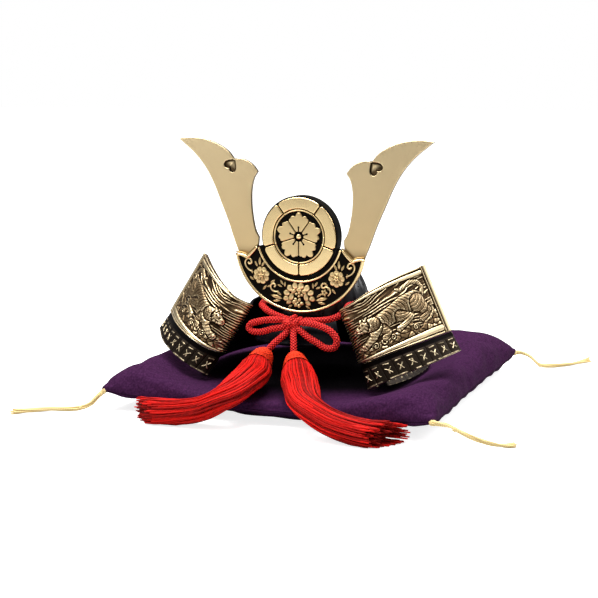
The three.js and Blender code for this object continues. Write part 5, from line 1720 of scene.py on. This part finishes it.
def inflated(piece, held, room):
    """Blows the cover up as cloth: `held` is how firmly each point stays, `room` the mm it may go."""
    mesh = piece.data
    start = points_of(mesh)
    group = piece.vertex_groups.new(name="held")
    for index, weight in enumerate(held):
        group.add([index], float(weight), "REPLACE")
    cloth = piece.modifiers.new("inflate", "CLOTH")
    cloth.settings.vertex_group_mass = "held"
    cloth.settings.effector_weights.gravity = 0
    cloth.settings.use_pressure = True
    cloth.settings.uniform_pressure_force = CLOTH_PRESSURE
    cloth.settings.bending_stiffness = CLOTH_BENDING
    cloth.settings.shrink_min = -CLOTH_SLACK
    cloth.settings.quality = 5
    cloth.point_cache.frame_start = 1
    cloth.point_cache.frame_end = CLOTH_FRAMES
    for step in range(1, CLOTH_FRAMES + 1):
        bpy.context.scene.frame_set(step)
    evaluated = piece.evaluated_get(bpy.context.evaluated_depsgraph_get())
    shift = (points_of(evaluated.to_mesh()) - start) / MM
    evaluated.to_mesh_clear()
    piece.modifiers.remove(cloth)
    piece.vertex_groups.clear()
    bpy.context.scene.frame_set(1)
    far = np.linalg.norm(shift, axis=1)[:, None] + 1e-9
    kept = room[:, None] * np.tanh(far / np.maximum(room[:, None], 1e-3))
    placed = start / MM + shift / far * kept
    placed[:, 2] = np.maximum(placed[:, 2], 0.0)
    mesh.vertices.foreach_set("co", (placed * MM).ravel())
    mesh.update()


def make_cushion():
    """The cushion's cover, sewn from two squares and blown up where the helmet doesn't press on it."""
    s, t, top, under = cushion_shape(CLOTH_STEPS)
    batch = Batch()
    faces = grid_faces(CLOTH_STEPS, CLOTH_STEPS)
    rim = GUARD_LEVELS[-1]
    aside = np.abs(top[..., 0] / rim["side"])
    behind = np.maximum(top[..., 1] - AXIS_Y, 0) / rim["back"]
    outside = (aside**GUARD_ROUNDNESS + behind**GUARD_ROUNDNESS) ** (1 / GUARD_ROUNDNESS)
    # Painted shadow of the helmet: the top is darkened towards black under the neck guard's rim, fading out
    # towards the front.
    from_front = top[..., 1] - 0.45 * np.abs(top[..., 0])
    inside = smoothstep(1.06, 0.90, outside) * smoothstep(-94, -60, from_front)
    on_seam = 1.0 * (np.maximum(np.abs(s), np.abs(t)) > 0.9999)
    batch.add(top, faces, shade=inside, seam=on_seam)
    batch.add(under, [face[::-1] for face in faces], shade=0.0, seam=on_seam)
    piece = outward(batch.build("cushion_cover"))
    x, y, z = points_of(piece.data).T / MM
    at_seam = np.empty(len(x), np.float32)
    piece.data.attributes["seam"].data.foreach_get("value", at_seam)
    in_dent = pressed(x, y) * (z > CUSHION_SEAM_Z)
    under_tassels = smoothstep(62, 48, np.abs(x)) * smoothstep(-60, -72, y) * (z > CUSHION_SEAM_Z)
    pinned = (at_seam > 0.5) | (z < 0.2)
    held = np.where(pinned, 1.0, 0.9 * in_dent)
    room = np.where(pinned, 0.0, CLOTH_ROOM * (1 - 0.9 * np.maximum(in_dent, under_tassels)))
    inflated(piece, held, room)
    smoother = piece.modifiers.new("rounding", "SUBSURF")
    smoother.levels = smoother.render_levels = 1
    finish_piece(piece, "purple_crepe", "cushion", materials=(PURPLE_CREPE,))


# ---------------------------------------------------------------- assembly
make_band()
make_knot()
LEFT_TASSEL = make_tassel("silk_tassel_left", TASSEL_LEFT, "tassel_left", 3, -1)
RIGHT_TASSEL = make_tassel("silk_tassel_right", TASSEL_RIGHT, "tassel_right", 8, 1)
make_free_cord("cord_left", BOW_LOOP_LEFT, BOW_END_LEFT, TASSEL_LEFT[:4],
               ("bow_loop_left", "bow_end_left"))
make_free_cord("cord_right", BOW_LOOP_RIGHT, BOW_END_RIGHT, TASSEL_RIGHT[:4],
               ("bow_loop_right", "bow_end_right"))
for seed, (corner, points) in enumerate(CORNER_THREADS.items()):
    make_corner_tassel(corner, points, seed)
make_bowl()
make_visor()
for lame in range(len(LAME_EDGES) - 1):
    make_lame(lame)
make_turnbacks()
make_strips()
make_crest_plate()
make_crest_disc()
make_crest_bracket()
make_horns()
make_cushion()
